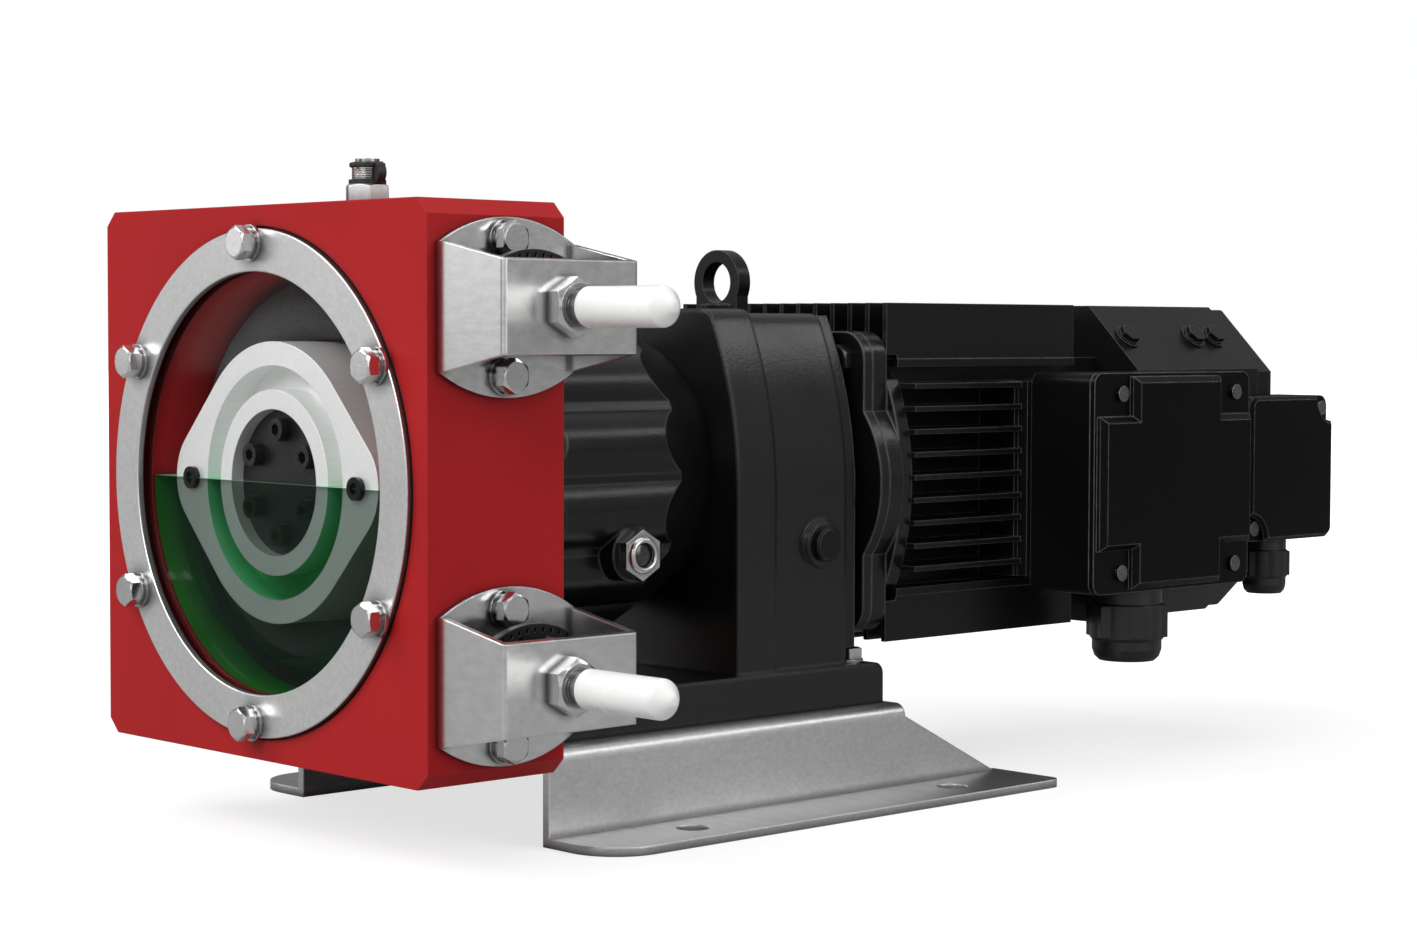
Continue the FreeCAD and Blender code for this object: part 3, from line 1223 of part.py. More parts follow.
def motor_frame():
    """A ribbed frame: plates above and below carry upright fins, each side carries level ribs."""
    body = new_body("motor_frame", station=FRAME_FRONT, height="-" + MOTOR_DROP)
    ribbed = "(frame_length - fin_gap)"
    core = cross_sketch(body)
    rectangle(core, "-frame_core", "-frame_low", "frame_core", "frame_core")
    pad(body, core, "frame_length")
    shelf = cross_sketch(body)
    for low, high in (("(frame_core - shelf_thick)", "frame_core"),
                      ("-frame_low", "-(frame_low - shelf_thick)")):
        rectangle(shelf, "-frame_shelf", low, "frame_shelf", high)
    pad(body, shelf, ribbed)
    left = "(-fin_pitch * (top_fins - 1) / 2 - fin_thick / 2)"
    rows = []
    for start, length, back in (("0", ribbed, True), ("0", "fin_lead", False)):
        fin = cross_sketch(body, start)
        for low, high in (("frame_core - 1", "fin_reach"), ("-fin_low", "-frame_low + 1")):
            edge = low if back else low.replace("- 1", "+ 2")
            top = high if back else high.replace("+ 1", "- 2")
            rectangle(fin, left, edge, "%s + fin_thick" % left, top)
        rows.append(pad(body, fin, length, back=back))
    along(body, rows, "top_fins", "fin_pitch")
    rib = cross_sketch(body)
    foot = "(rib_lift - rib_pitch * (side_fins - 1) / 2 - fin_thick / 2)"
    for near, far in (("frame_core - 1", "fin_side_reach"), ("-fin_side_reach", "-frame_core + 1")):
        rectangle(rib, near, foot, far, "%s + fin_thick" % foot)
    along(body, [pad(body, rib, ribbed)], "side_fins", "rib_pitch", "Z_Axis")
    for inset, face in (("0", "box_side - 6"), ("box_step", "box_side")):
        seat = side_sketch(body, "frame_core - 1")
        rectangle(seat, "box_pad_front + %s - %s" % (inset, FRAME_FRONT), "-box_pad_half - box_sag",
                  "frame_length", "box_pad_half - box_sag + %s" % inset)
        pad(body, seat, "%s - frame_core + 1" % face)
    bore = cross_sketch(body)
    circle(bore, "0", "0", "frame_bore")
    pocket(body, bore, "frame_length")
    wires = side_sketch(body, "box_side")
    circle(wires, WIRE_STATION + " - " + FRAME_FRONT, "0", "wire_hole")
    pocket(body, wires, "box_side - frame_bore + 6", back=False)


def motor_rear_shield():
    body = new_body("motor_rear_shield", station="%s - rear_shield_thick" % FRAME_REAR,
                    height="-" + MOTOR_DROP)
    disc = cross_sketch(body)
    circle(disc, "0", "0", "frame_bore")
    pad(body, disc, "rear_shield_thick")
    seat = cross_sketch(body)
    circle(seat, "0", "0", "motor_bearing")
    pocket(body, seat, "rear_shield_thick - 3")


def stator_core():
    body = new_body("stator_core", station=STATOR_FRONT, height="-" + MOTOR_DROP)
    profile = side_sketch(body)
    outline(profile, [("0", "stator_bore"), (STATOR_LENGTH, "stator_bore"),
                      (STATOR_LENGTH, "frame_bore"), ("0", "frame_bore")])
    turned(body, profile)
    for front, out in (("0", False), (STATOR_LENGTH, True)):
        coil = cross_sketch(body, front)
        circle(coil, "0", "0", "frame_bore - 5")
        circle(coil, "0", "0", "stator_bore + 3")
        pad(body, coil, "14", back=out)


def rotor_core():
    body = new_body("rotor_core", station=STATOR_FRONT, height="-" + MOTOR_DROP)
    ring_at(body, "0", "0", "0", "motor_shaft", "stator_bore - air_gap", STATOR_LENGTH)


def motor_spindle():
    body = new_body("motor_spindle", height="-" + MOTOR_DROP)
    tip = "(wheel_start - 2)"
    shoulder = "(wheel_start + wheel_width + 2)"
    end = "(%s - 4)" % FRAME_REAR
    profile = side_sketch(body)
    outline(profile, [(tip, "0"), (end, "0"), (end, "motor_shaft"), (shoulder, "motor_shaft"),
                      (shoulder, "pinion_bore"), (tip, "pinion_bore")])
    turned(body, profile)


def motor_bearings():
    body = new_body("motor_bearings", height="-" + MOTOR_DROP)
    front = "%s + shield_rim - motor_bearing_width" % FRAME_FRONT
    ring_at(body, front, "0", "0", "motor_shaft + run_gap", "motor_bearing", "motor_bearing_width")
    ring_at(body, "%s - rear_shield_thick" % FRAME_REAR, "0", "0", "motor_shaft + run_gap",
            "motor_bearing", "rear_shield_thick - 4")


def fan_cowl():
    body = new_body("fan_cowl", station=FRAME_REAR, height="-" + MOTOR_DROP)
    shell = cross_sketch(body)
    octagon(shell, "cowl_half", "cowl_low", "cowl_facet")
    pad(body, shell, "cowl_length")
    hollow = cross_sketch(body, "cowl_wall")
    octagon(hollow, "(cowl_half - cowl_wall)", "(cowl_low - cowl_wall)", "(cowl_facet * 0.97)")
    pocket(body, hollow, "cowl_length")
    front = cross_sketch(body)
    circle(front, "0", "0", "frame_bore")
    pocket(body, front, "cowl_wall")
    holes = bevel_sketch(body, COWL_BEVEL, COWL_BEVEL)
    for station in cowl_screw_places():
        circle(holes, "0", station, "cowl_screw_flats * 0.3 + bolt_gap")
    pocket(body, holes, "cowl_wall * 2", back=False)


def cowl_screw_places():
    """Stations of the cowl's bevel screws: one near its front, two near its rear."""
    return ["cowl_length * 0.11", "cowl_length * 0.65", "cowl_length * 0.82"]


def fan_guard():
    """The cowl's rear cap: a shallow tray with rounded edges and a row of slots."""
    body = new_body("fan_guard", station=COWL_REAR, height="-" + MOTOR_DROP)
    half, low = "(cowl_half - cap_inset)", "(cowl_low - cap_inset)"
    shell = cross_sketch(body)
    octagon(shell, half, low, "cowl_facet")
    pad(body, shell, "cap_length")
    rounded_edges(body, "cap_round", lambda edge: edge.CenterOfMass.y > number("cap_length - 0.01"))
    hollow = cross_sketch(body)
    octagon(hollow, "(%s - cap_round)" % half, "(%s - cap_round)" % low, "(cowl_facet * 0.9)")
    pocket(body, hollow, "cap_length - cowl_wall")
    slot = cross_sketch(body, "cap_length - cowl_wall * 2")
    rectangle(slot, "-fan_radius * 0.9", "-fan_radius * 0.72", "fan_radius * 0.9",
              "-fan_radius * 0.72 + fin_pitch * 0.4")
    along(body, [pocket(body, slot, "cowl_wall * 3")], "side_fins", "fin_pitch", "Z_Axis")


def cooling_fan():
    body = new_body("cooling_fan", station="%s + fan_gap" % FRAME_REAR, height="-" + MOTOR_DROP)
    hub = cross_sketch(body)
    circle(hub, "0", "0", "fan_hub")
    pad(body, hub, "fan_width")
    bore = cross_sketch(body)
    circle(bore, "0", "0", "fan_spindle")
    pocket(body, bore, "fan_width")
    blade = cross_sketch(body)
    outline(blade, [("-blade_thick / 2", "fan_hub - 2"), ("blade_thick / 2", "fan_hub - 2"),
                    ("blade_thick / 2 + 9", "fan_radius * 0.98"), ("9 - blade_thick / 2", "fan_radius")])
    around(body, [pad(body, blade, "fan_width")], int(number("blades")))


def fan_spindle():
    body = new_body("fan_spindle", station="%s + fan_gap" % FRAME_REAR, height="-" + MOTOR_DROP)
    rod_face = cross_sketch(body)
    circle(rod_face, "0", "0", "fan_spindle")
    pad(body, rod_face, "cowl_length + cap_length - fan_gap - cowl_wall - 8")


def fan_motor():
    body = new_body("fan_motor", height="-" + MOTOR_DROP)
    rear = "(%s + cap_length - cowl_wall)" % COWL_REAR
    case = cross_sketch(body, "%s - fan_motor_length" % rear)
    circle(case, "0", "0", "fan_motor")
    pad(body, case, "fan_motor_length")
    bore = cross_sketch(body, "%s - fan_motor_length" % rear)
    circle(bore, "0", "0", "fan_spindle + run_gap")
    pocket(body, bore, "fan_motor_length - 6")


# Terminal boxes

def box_shell(body, x, y0, z0, y1, z1, depth, wall):
    outer = side_sketch(body, x)
    rounded_rectangle(outer, y0, z0, y1, z1, "box_round")
    pad(body, outer, depth)
    inner = side_sketch(body, "%s + %s" % (x, wall))
    rounded_rectangle(inner, "(%s + %s)" % (y0, wall), "(%s + %s)" % (z0, wall),
                      "(%s - %s)" % (y1, wall), "(%s - %s)" % (z1, wall), "(box_round / 2)")
    pocket(body, inner, depth)


def terminal_box():
    body = new_body("terminal_box", station="box_front", height="-" + BOX_DROP)
    box_shell(body, "box_side", "0", "-box_half", "box_length", "box_half", "box_depth", "box_wall")
    posts = side_sketch(body, "box_side + box_wall")
    for y, z in lid_places():
        circle(posts, y, z, "bolt * 1.4")
    pad(body, posts, "box_depth - box_wall")
    wires = side_sketch(body, "box_side")
    circle(wires, WIRE_STATION + " - box_front", "box_sag", "wire_hole")
    pocket(body, wires, "box_wall")
    entry = level_sketch(body, "-box_half")
    circle(entry, "gland_side", "gland_station - box_front", "gland_bore + 4")
    pocket(body, entry, "box_wall")
    holes = side_sketch(body, BOX_FACE)
    for y, z in lid_places():
        circle(holes, y, z, "bolt / 2")
    pocket(body, holes, "12", back=False)


def lid_places():
    """The lid's four screws, from the box's front end and the motor axis."""
    middle = "(box_length / 2 + 3.5)"
    return [("%s %s lid_screw_long / 2" % (middle, sy), "%slid_screw_high / 2" % sz)
            for sy in ("+", "-") for sz in ("", "-")]


def terminal_lid():
    """A plate with a raised crown whose four corners are cut back round the screws."""
    body = new_body("terminal_lid", BOX_FACE, "box_front", "-" + BOX_DROP)
    face = side_sketch(body)
    rounded_rectangle(face, "0", "-box_half", "box_length", "box_half", "box_round")
    pad(body, face, "lid_plate")
    crown = side_sketch(body, "lid_plate")
    front, rear, high, cut = "2", "(box_length - 2)", "(box_half - 2)", "lid_corner"
    low = "(%s - lid_notch)" % high
    outline(crown, [
        ("(%s + %s)" % (front, cut), "-" + high), ("(%s - %s)" % (rear, cut), "-" + high),
        ("(%s - %s)" % (rear, cut), "-" + low), (rear, "-" + low), (rear, low),
        ("(%s - %s)" % (rear, cut), low), ("(%s - %s)" % (rear, cut), high),
        ("(%s + %s)" % (front, cut), high), ("(%s + %s)" % (front, cut), low), (front, low),
        (front, "-" + low), ("(%s + %s)" % (front, cut), "-" + low)])
    pad(body, crown, "lid_thick - lid_plate")
    rounded_edges(body, "(lid_thick - lid_plate) * 0.6",
                  lambda edge: edge.CenterOfMass.x > number("lid_thick - 0.01"), "Chamfer")
    holes = side_sketch(body)
    for y, z in lid_places():
        circle(holes, y, z, "bolt / 2 + run_gap")
    pocket(body, holes, "lid_thick")


def small_lid_places():
    """The fan box lid's two screws, from its front end and the motor axis."""
    return [("small_box_length - 7", "small_box_high - 7"), ("7", "-small_box_low + 7")]


def lid_screws():
    body = new_body("lid_screws", station="box_front", height="-" + BOX_DROP)
    shift = "(small_box_front - box_front)"
    places = [(y, z, "%s + lid_plate" % BOX_FACE, "lid_plate + 11") for y, z in lid_places()]
    places += [("%s + %s" % (shift, y), "%s + box_sag" % z, "box_side + small_box_depth", "8")
               for y, z in small_lid_places()]
    for y, z, face, grip in places:
        head = side_sketch(body, face)
        circle(head, y, z, "bolt")
        pad(body, head, "2.2")
        shank = side_sketch(body, face)
        circle(shank, y, z, "bolt / 2")
        pad(body, shank, grip, back=False)


def fan_terminal_box():
    body = new_body("fan_terminal_box", station="small_box_front", height="-" + MOTOR_DROP)
    box_shell(body, "box_side - small_box_sink", "0", "-small_box_low", "small_box_length", "small_box_high",
              "small_box_depth + small_box_sink", "box_wall")
    posts = side_sketch(body, "box_side - small_box_sink + box_wall - 1")
    for y, z in small_lid_places():
        circle(posts, y, z, "bolt * 1.1")
    pad(body, posts, "small_box_depth + small_box_sink - box_wall + 1")
    entry = level_sketch(body, "-small_box_low")
    circle(entry, "box_side + small_box_depth / 2", "small_gland_station - small_box_front",
           "small_gland_bore + 2")
    pocket(body, entry, "box_wall")
    holes = side_sketch(body, "box_side + small_box_depth")
    for y, z in small_lid_places():
        circle(holes, y, z, "bolt / 2")
    pocket(body, holes, "10", back=False)


def fan_terminal_lid():
    """A lid with round bites at its upper rear and lower front corners, where the screws are."""
    body = new_body("fan_terminal_lid", "box_side + small_box_depth", "small_box_front",
                    "-" + MOTOR_DROP)
    face = side_sketch(body)
    rounded_rectangle(face, "0", "-small_box_low", "small_box_length", "small_box_high", "box_round")
    pad(body, face, "small_lid_thick")
    bites = side_sketch(body)
    circle(bites, "small_box_length", "small_box_high", "small_corner")
    circle(bites, "0", "-small_box_low", "small_corner")
    pocket(body, bites, "small_lid_thick")
    rounded_edges(body, "small_lid_thick * 0.4",
                  lambda edge: edge.CenterOfMass.x > number("small_lid_thick - 0.01"), "Chamfer")


def cable_glands():
    """Each gland: a stub in the box wall, a collar, a hexagon nut and a domed end round the bore."""
    body = new_body("cable_glands")
    for x, y, low, size, length, bore in (
            ("gland_side", "gland_station", "(%s + box_half)" % BOX_DROP, "gland", "gland_length",
             "gland_bore"),
            ("(box_side + small_box_depth / 2)", "small_gland_station",
             "(%s + small_box_low)" % MOTOR_DROP, "small_gland", "small_gland_length",
             "small_gland_bore")):
        profile = cross_sketch(body, y)
        collar, nut, dome = "%s * 0.9" % size, "%s * 0.96" % size, "%s * 0.9" % size
        steps = [(bore, "-box_wall - 2"), ("%s + 1.5" % bore, "-box_wall - 2"), ("%s + 1.5" % bore, "0"),
                 (collar, "0"), (collar, "%s * 0.2" % length), (nut, "%s * 0.22" % length),
                 (nut, "%s * 0.68" % length), (dome, "%s * 0.72" % length), (dome, "%s * 0.84" % length),
                 ("%s * 0.93" % dome, "%s * 0.94" % length), ("%s * 0.8" % dome, length), (bore, length)]
        outline(profile, [("%s + %s" % (x, radius), "-%s - (%s)" % (low, drop))
                          for radius, drop in reversed(steps)])
        axis_line(profile, (x, "-" + low), (x, "-%s - %s" % (low, length)))
        turned(body, profile, "Axis0")
        wide = level_sketch(body, "-%s - %s * 0.23" % (low, length))
        hexagon(wide, x, y, "%s * 1.84" % size)
        circle(wide, x, y, "%s * 0.7" % size)
        pad(body, wide, "%s * 0.44" % length, back=False)


def cowl_screws():
    """Hexagon screws with washers on the cowl's upper bevel, beside the terminal boxes."""
    body = new_body("cowl_screws", station=FRAME_REAR, height="-" + MOTOR_DROP)
    for station in cowl_screw_places():
        for radius, tall, out in (("cowl_screw_flats * 0.75", "cowl_screw_flats * 0.12", True),
                                  ("cowl_screw_flats * 0.3", "cowl_wall + 1.5", False)):
            face = bevel_sketch(body, COWL_BEVEL, COWL_BEVEL)
            circle(face, "0", station, radius)
            pad(body, face, tall, back=out)
        head = bevel_sketch(body, COWL_BEVEL, COWL_BEVEL)
        hexagon(head, "0", station, "cowl_screw_flats")
        pad(body, head, "cowl_screw_flats * 0.45")


def build():
    pump_housing()
    cover_gasket()
    sight_window()
    cover_ring()
    cover_bolts()
    cover_washers()
    breather_body()
    breather_tether()
    breather_cap()
    pump_hose()
    port_bracket("upper_port_bracket", "hose_arc")
    port_bracket("lower_port_bracket", "-hose_arc")
    bracket_bolts()
    bracket_washers()
    hose_clamps()
    port_nipples()
    port_locknuts()
    port_cap("upper_port_cap", "hose_arc")
    port_cap("lower_port_cap", "-hose_arc")
    rotor()
    press_shoes()
    rotor_screws()
    rotor_hub_plate()
    output_shaft()
    rotor_key()
    shaft_seal()
    bearing_barrel()
    output_bearings()
    gear_case()
    input_cover()
    flange_bolts()
    countershaft_bearings()
    output_wheel()
    countershaft()
    counter_wheel()
    input_pinion()
    oil_sight_plug()
    case_side_plug()
    lifting_eye()
    base_frame()
    foot_fasteners()
    motor_end_shield()
    motor_frame()
    motor_rear_shield()
    stator_core()
    rotor_core()
    motor_spindle()
    motor_bearings()
    fan_cowl()
    fan_guard()
    cooling_fan()
    fan_spindle()
    fan_motor()
    terminal_box()
    terminal_lid()
    lid_screws()
    fan_terminal_box()
    fan_terminal_lid()
    cable_glands()
    cowl_screws()


build()
doc.recompute()

faults = []
for item in doc.Objects:
    if "Invalid" in item.State or "Error" in item.State:
        faults.append("%s of %s: %s" % (item.Label, [p.Label for p in item.InList][:1], item.State))
for item in parts:
    if item.Shape.isNull() or not item.Shape.isValid():
        faults.append("%s has no valid shape" % item.Label)
if faults:
    raise RuntimeError("; ".join(faults))

os.makedirs("parts", exist_ok=True)
for item in parts:
    item.Shape.exportStep(os.path.join("parts", item.Label + ".step"))
    print(item.Label, len(item.Shape.Solids), round(item.Shape.Volume, 1))
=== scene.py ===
"""Looks of the hose pump: materials, small pieces, floor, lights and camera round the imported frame."""

import json
import math

import bmesh
import bpy
from mathutils import Matrix, Vector


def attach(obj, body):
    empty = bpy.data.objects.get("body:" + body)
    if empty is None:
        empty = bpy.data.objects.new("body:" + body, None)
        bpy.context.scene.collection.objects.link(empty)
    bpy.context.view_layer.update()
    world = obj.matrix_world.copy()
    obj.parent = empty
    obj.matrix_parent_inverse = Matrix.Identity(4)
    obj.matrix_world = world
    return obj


# Camera, in metres, degrees and millimetres of lens
CAMERA = Vector((1.0293, -0.938, 0.2238))
YAW, PITCH, ROLL = 46.74, 2.66, 0.17
LENS = 72.38
NEAREST, FARTHEST = 0.01, 50

# Places on the pump: stations lie behind the front of the housing, heights from the pump axis
SETBACK, AXIS = 0.2375, 0.157
BREATHER = (53.5, 20, 127.8)
SIGHT = (76.6, 150, -34)

# Edges sharper than this many degrees stay sharp in smooth shading
SHARP = 30

# Sockets of a Mix node for colours, which share their names with its other sockets
FACTOR, COLOUR_A, COLOUR_B, COLOUR_OUT = 0, 6, 7, 2

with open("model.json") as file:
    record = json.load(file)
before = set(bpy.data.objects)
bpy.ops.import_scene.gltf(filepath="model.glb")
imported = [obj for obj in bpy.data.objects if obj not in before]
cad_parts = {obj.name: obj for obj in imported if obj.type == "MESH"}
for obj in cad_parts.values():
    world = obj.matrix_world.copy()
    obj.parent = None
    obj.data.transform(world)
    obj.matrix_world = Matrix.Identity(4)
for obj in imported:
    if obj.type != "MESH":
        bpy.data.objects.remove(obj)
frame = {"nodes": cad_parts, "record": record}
nodes = frame["nodes"]
scene = bpy.context.scene
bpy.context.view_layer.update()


def point(x, station, height):
    """A place on the pump in metres, from millimetres across, behind the front and above the axis."""
    return Vector((x / 1000, station / 1000 - SETBACK, height / 1000 + AXIS))


def grey(level):
    """A colour with the same level in all three channels."""
    return (level, level, level)


def scaled(colour, factor):
    """A colour made darker or brighter, up to full white."""
    return tuple(min(1.0, channel * factor) for channel in colour)


# Node trees

class Graph:
    """A node tree with short ways to add and join nodes."""

    def __init__(self, tree):
        self.tree = tree

    def feed(self, socket, value):
        """Joins a socket to another node's output, or sets it to a number, a vector or a colour."""
        if isinstance(value, bpy.types.NodeSocket):
            self.tree.links.new(value, socket)
        elif socket.type == "RGBA":
            socket.default_value = (*value, 1)
        else:
            socket.default_value = value

    def node(self, kind, **inputs):
        """A new node, with its sockets given by name."""
        made = self.tree.nodes.new(kind)
        for name, value in inputs.items():
            self.feed(made.inputs[name.replace("_", " ")], value)
        return made

    def math(self, operation, *values, kind="ShaderNodeMath"):
        """A number worked out from other numbers or outputs."""
        made = self.tree.nodes.new(kind)
        made.operation = operation
        for socket, value in zip(made.inputs, values):
            self.feed(socket, value)
        return made.outputs["Value"]

    def vector_math(self, operation, *vectors):
        """A number worked out from vectors, such as a length or a dot product."""
        return self.math(operation, *vectors, kind="ShaderNodeVectorMath")

    def between(self, share, low, high):
        """A number that goes from low to high as a share goes from 0 to 1."""
        return self.math("MULTIPLY_ADD", share, high - low, low)

    def ramp(self, factor, stops):
        """A colour that follows a factor, from stops of a position and a colour."""
        made = self.node("ShaderNodeValToRGB", Fac=factor)
        band = made.color_ramp
        while len(band.elements) < len(stops):
            band.elements.new(0.5)
        for element, (position, colour) in zip(band.elements, stops):
            element.position = position
            element.color = (*colour, 1)
        return made.outputs["Color"]

    def levels(self, factor, stops):
        """A grey that follows a factor, from stops of a position and a level."""
        return self.ramp(factor, [(position, grey(level)) for position, level in stops])


class Shader(Graph):
    """A material's node tree, with the patterns that the materials share."""

    def __init__(self, name):
        self.material = bpy.data.materials.new(name)
        self.material.use_nodes = True
        super().__init__(self.material.node_tree)
        self.surface = self.tree.nodes["Principled BSDF"]
        self.place = self.node("ShaderNodeTexCoord").outputs["Object"]

    def set(self, **inputs):
        """Gives the surface its sockets by name."""
        for name, value in inputs.items():
            self.feed(self.surface.inputs[name.replace("_", " ")], value)

    def noise(self, scale, detail, roughness=0.5, stretch=None):
        """A noise with so many cells to the metre, drawn out along some axes where stretch is given."""
        place = self.place
        if stretch:
            place = self.node("ShaderNodeMapping", Vector=place, Scale=stretch).outputs[0]
        return self.node("ShaderNodeTexNoise", Vector=place, Scale=scale, Detail=detail,
                         Roughness=roughness).outputs["Fac"]

    def tones(self, factor, dark, light, margin=0.3):
        """A colour from dark to light, flat at both ends of the factor over a margin."""
        return self.ramp(factor, [(margin, dark), (1 - margin, light)])

    def mix(self, factor, first, second):
        """A colour between two, where a factor of 0 gives the first and 1 the second."""
        made = self.tree.nodes.new("ShaderNodeMix")
        made.data_type = "RGBA"
        for place, value in ((FACTOR, factor), (COLOUR_A, first), (COLOUR_B, second)):
            self.feed(made.inputs[place], value)
        return made.outputs[COLOUR_OUT]

    def bump(self, height, strength, normal):
        """A normal roughened by a height, over the fine depth that all the materials share."""
        return self.node("ShaderNodeBump", Height=height, Strength=strength, Distance=0.0003,
                         Normal=normal).outputs[0]

    def edges(self, radius):
        """A normal that is rounded off along edges and corners."""
        made = self.node("ShaderNodeBevel", Radius=radius)
        made.samples = 4
        return made.outputs[0]

    def edge_highlight(self, rounded, patch, amount):
        """Where a highlight is painted along an edge: where the rounded normal leans away, broken up by a
        patchy noise.
        """
        flat = self.node("ShaderNodeNewGeometry").outputs["Normal"]
        lean = self.vector_math("DOT_PRODUCT", rounded, flat)
        edge = self.node("ShaderNodeMapRange", Value=lean, From_Min=0.995, From_Max=0.80, To_Max=amount)
        return self.math("MULTIPLY", edge.outputs[0], patch)

    def crevice(self, reach, depth):
        """How open a place is, from dark in corners and under heads to 1 on open faces: a factor for
        painting shade into a colour.
        """
        made = self.node("ShaderNodeAmbientOcclusion", Distance=reach)
        made.samples = 4
        return self.math("POWER", made.outputs["AO"], depth)


# Kinds of material

def enamel(name, dark, light, gloss, grain, bevel, shine, edge_light=grey(0.1), edge_light_amount=0.5, corner_shade=0.0):
    """Sprayed paint: a fine grain, a little unevenness in colour and gloss, softened edges with painted
    highlights along them, and painted shade darkening the corners when it is asked for."""
    shader = Shader(name)
    paint = shader.tones(shader.noise(scale=9.0, detail=3.0), dark, light)
    rounded = shader.edges(bevel)
    patches = shader.noise(scale=130.0, detail=4.0, roughness=0.65)
    # Painted highlight: edges are lightened towards a given colour, in patches.
    colour = shader.mix(shader.edge_highlight(rounded, patches, edge_light_amount), paint, edge_light)
    # Painted shade: colour darkened in corners and under heads.
    if corner_shade:
        colour = shader.mix(shader.crevice(reach=0.005, depth=corner_shade), scaled(dark, 0.2), colour)
    peel = shader.noise(scale=900.0, detail=2.0, roughness=0.6)
    swell = shader.noise(scale=140.0, detail=2.0)
    height = shader.math("MULTIPLY_ADD", swell, 0.6, peel)
    shader.set(Base_Color=colour, Specular_IOR_Level=shine,
               Roughness=shader.between(shader.noise(scale=38.0, detail=3.0), *gloss),
               Normal=shader.bump(height, grain, rounded))
    return shader.material


def brushed(name, dark, light, gloss, lines, bevel=0.0005, metal=1.0, depth=0.08, reach=0.004):
    """Metal with fine lines along one way, cloudy tones, painted highlights along its edges, and painted
    shade darkening corners within a given reach."""
    shader = Shader(name)
    strokes = shader.noise(scale=60.0, detail=4.0, roughness=0.6, stretch=lines)
    cloud = shader.noise(scale=14.0, detail=3.0)
    tone = shader.math("MULTIPLY_ADD", strokes, 0.6, shader.math("MULTIPLY", cloud, 0.4))
    rounded = shader.edges(bevel)
    # Painted highlight: edges are lightened to a brighter steel, broken up in patches.
    edge_light_share = shader.edge_highlight(rounded, cloud, amount=1.2)
    bright = scaled(light, 1.6)
    steel = shader.mix(edge_light_share, shader.tones(tone, dark, light, margin=0.25), bright)
    # Painted shade: colour darkened in corners within the reach.
    if reach:
        steel = shader.mix(shader.crevice(reach, depth=1.6), grey(0.01), steel)
    shader.set(Base_Color=steel, Metallic=metal, Roughness=shader.between(tone, *gloss),
               Normal=shader.bump(strokes, depth, rounded))
    return shader.material


def moulded(name, dark, light, rough, shine=0.5):
    """Rubber or plastic with a fine moulded grain."""
    shader = Shader(name)
    gloss = shader.between(shader.noise(scale=80.0, detail=3.0), rough - 0.06, rough + 0.06)
    grain = shader.noise(scale=900.0, detail=2.0)
    rounded = shader.edges(radius=0.0005)
    shader.set(Base_Color=shader.tones(shader.noise(scale=30.0, detail=3.0), dark, light),
               Roughness=gloss, Specular_IOR_Level=shine,
               Normal=shader.bump(grain, strength=0.12, normal=rounded))
    return shader.material


def clear(name, tint, rough, body):
    """A clear sheet: see-through straight on, with reflections that grow towards grazing angles."""
    shader = Shader(name)
    haze = shader.tones(shader.noise(scale=25.0, detail=3.0), tint, scaled(tint, 0.97))
    facing = shader.node("ShaderNodeLayerWeight").outputs["Facing"]
    cover = shader.math("MULTIPLY_ADD", shader.math("POWER", facing, 6.0), 0.9, body)
    shader.set(Base_Color=haze, Metallic=1.0, Roughness=rough, Alpha=cover)
    return shader.material


def liquid(name, dark, light, veil, colour, density):
    """A cloudy coloured liquid: it hides a share of what lies in it, and takes more light the deeper one
    looks into it."""
    shader = Shader(name)
    cloud = shader.noise(scale=18.0, detail=2.0)
    shader.set(Base_Color=shader.tones(cloud, dark, light), Roughness=0.5, Specular_IOR_Level=0.0,
               Alpha=shader.between(cloud, veil - 0.03, veil + 0.03))
    depth = shader.node("ShaderNodeVolumeAbsorption", Color=colour, Density=density)
    shader.feed(shader.tree.nodes["Material Output"].inputs["Volume"], depth.outputs[0])
    return shader.material


# Painted and coated metal

# Red paint with painted highlights along its edges and painted shade in its corners, as by the ring.
RED = enamel("red_enamel", (0.345, 0.009, 0.011), (0.40, 0.012, 0.014), gloss=(0.38, 0.52), grain=0.12,
             bevel=0.0009, shine=0.14, edge_light=(0.62, 0.14, 0.13), edge_light_amount=0.5, corner_shade=1.0)
# The black coats get light grey painted highlights along their edges.
CASTING = enamel("black_casting", grey(0.003), grey(0.007), gloss=(0.16, 0.28), grain=0.35,
                 bevel=0.0018, shine=0.40, edge_light=grey(0.26), edge_light_amount=0.8)
CASE = enamel("black_case", grey(0.003), grey(0.007), gloss=(0.16, 0.30), grain=0.30,
              bevel=0.0035, shine=0.50, edge_light=grey(0.05), edge_light_amount=0.3)
BLACK = enamel("black_enamel", grey(0.003), grey(0.006), gloss=(0.22, 0.34), grain=0.16,
               bevel=0.0007, shine=0.26, edge_light=grey(0.26), edge_light_amount=0.8)
BOX = enamel("black_box_coat", grey(0.0025), grey(0.005), gloss=(0.22, 0.34), grain=0.22,
             bevel=0.0009, shine=0.08, edge_light=grey(0.40), edge_light_amount=1.0)

# Bare metal

SHEET = brushed("stainless_sheet", grey(0.62), (0.88, 0.88, 0.875), gloss=(0.17, 0.28), lines=(2, 3, 5),
                bevel=0.0009)
BASE = brushed("base_sheet", grey(0.58), (0.84, 0.84, 0.835), gloss=(0.28, 0.40), lines=(1, 6, 10),
               bevel=0.0012)
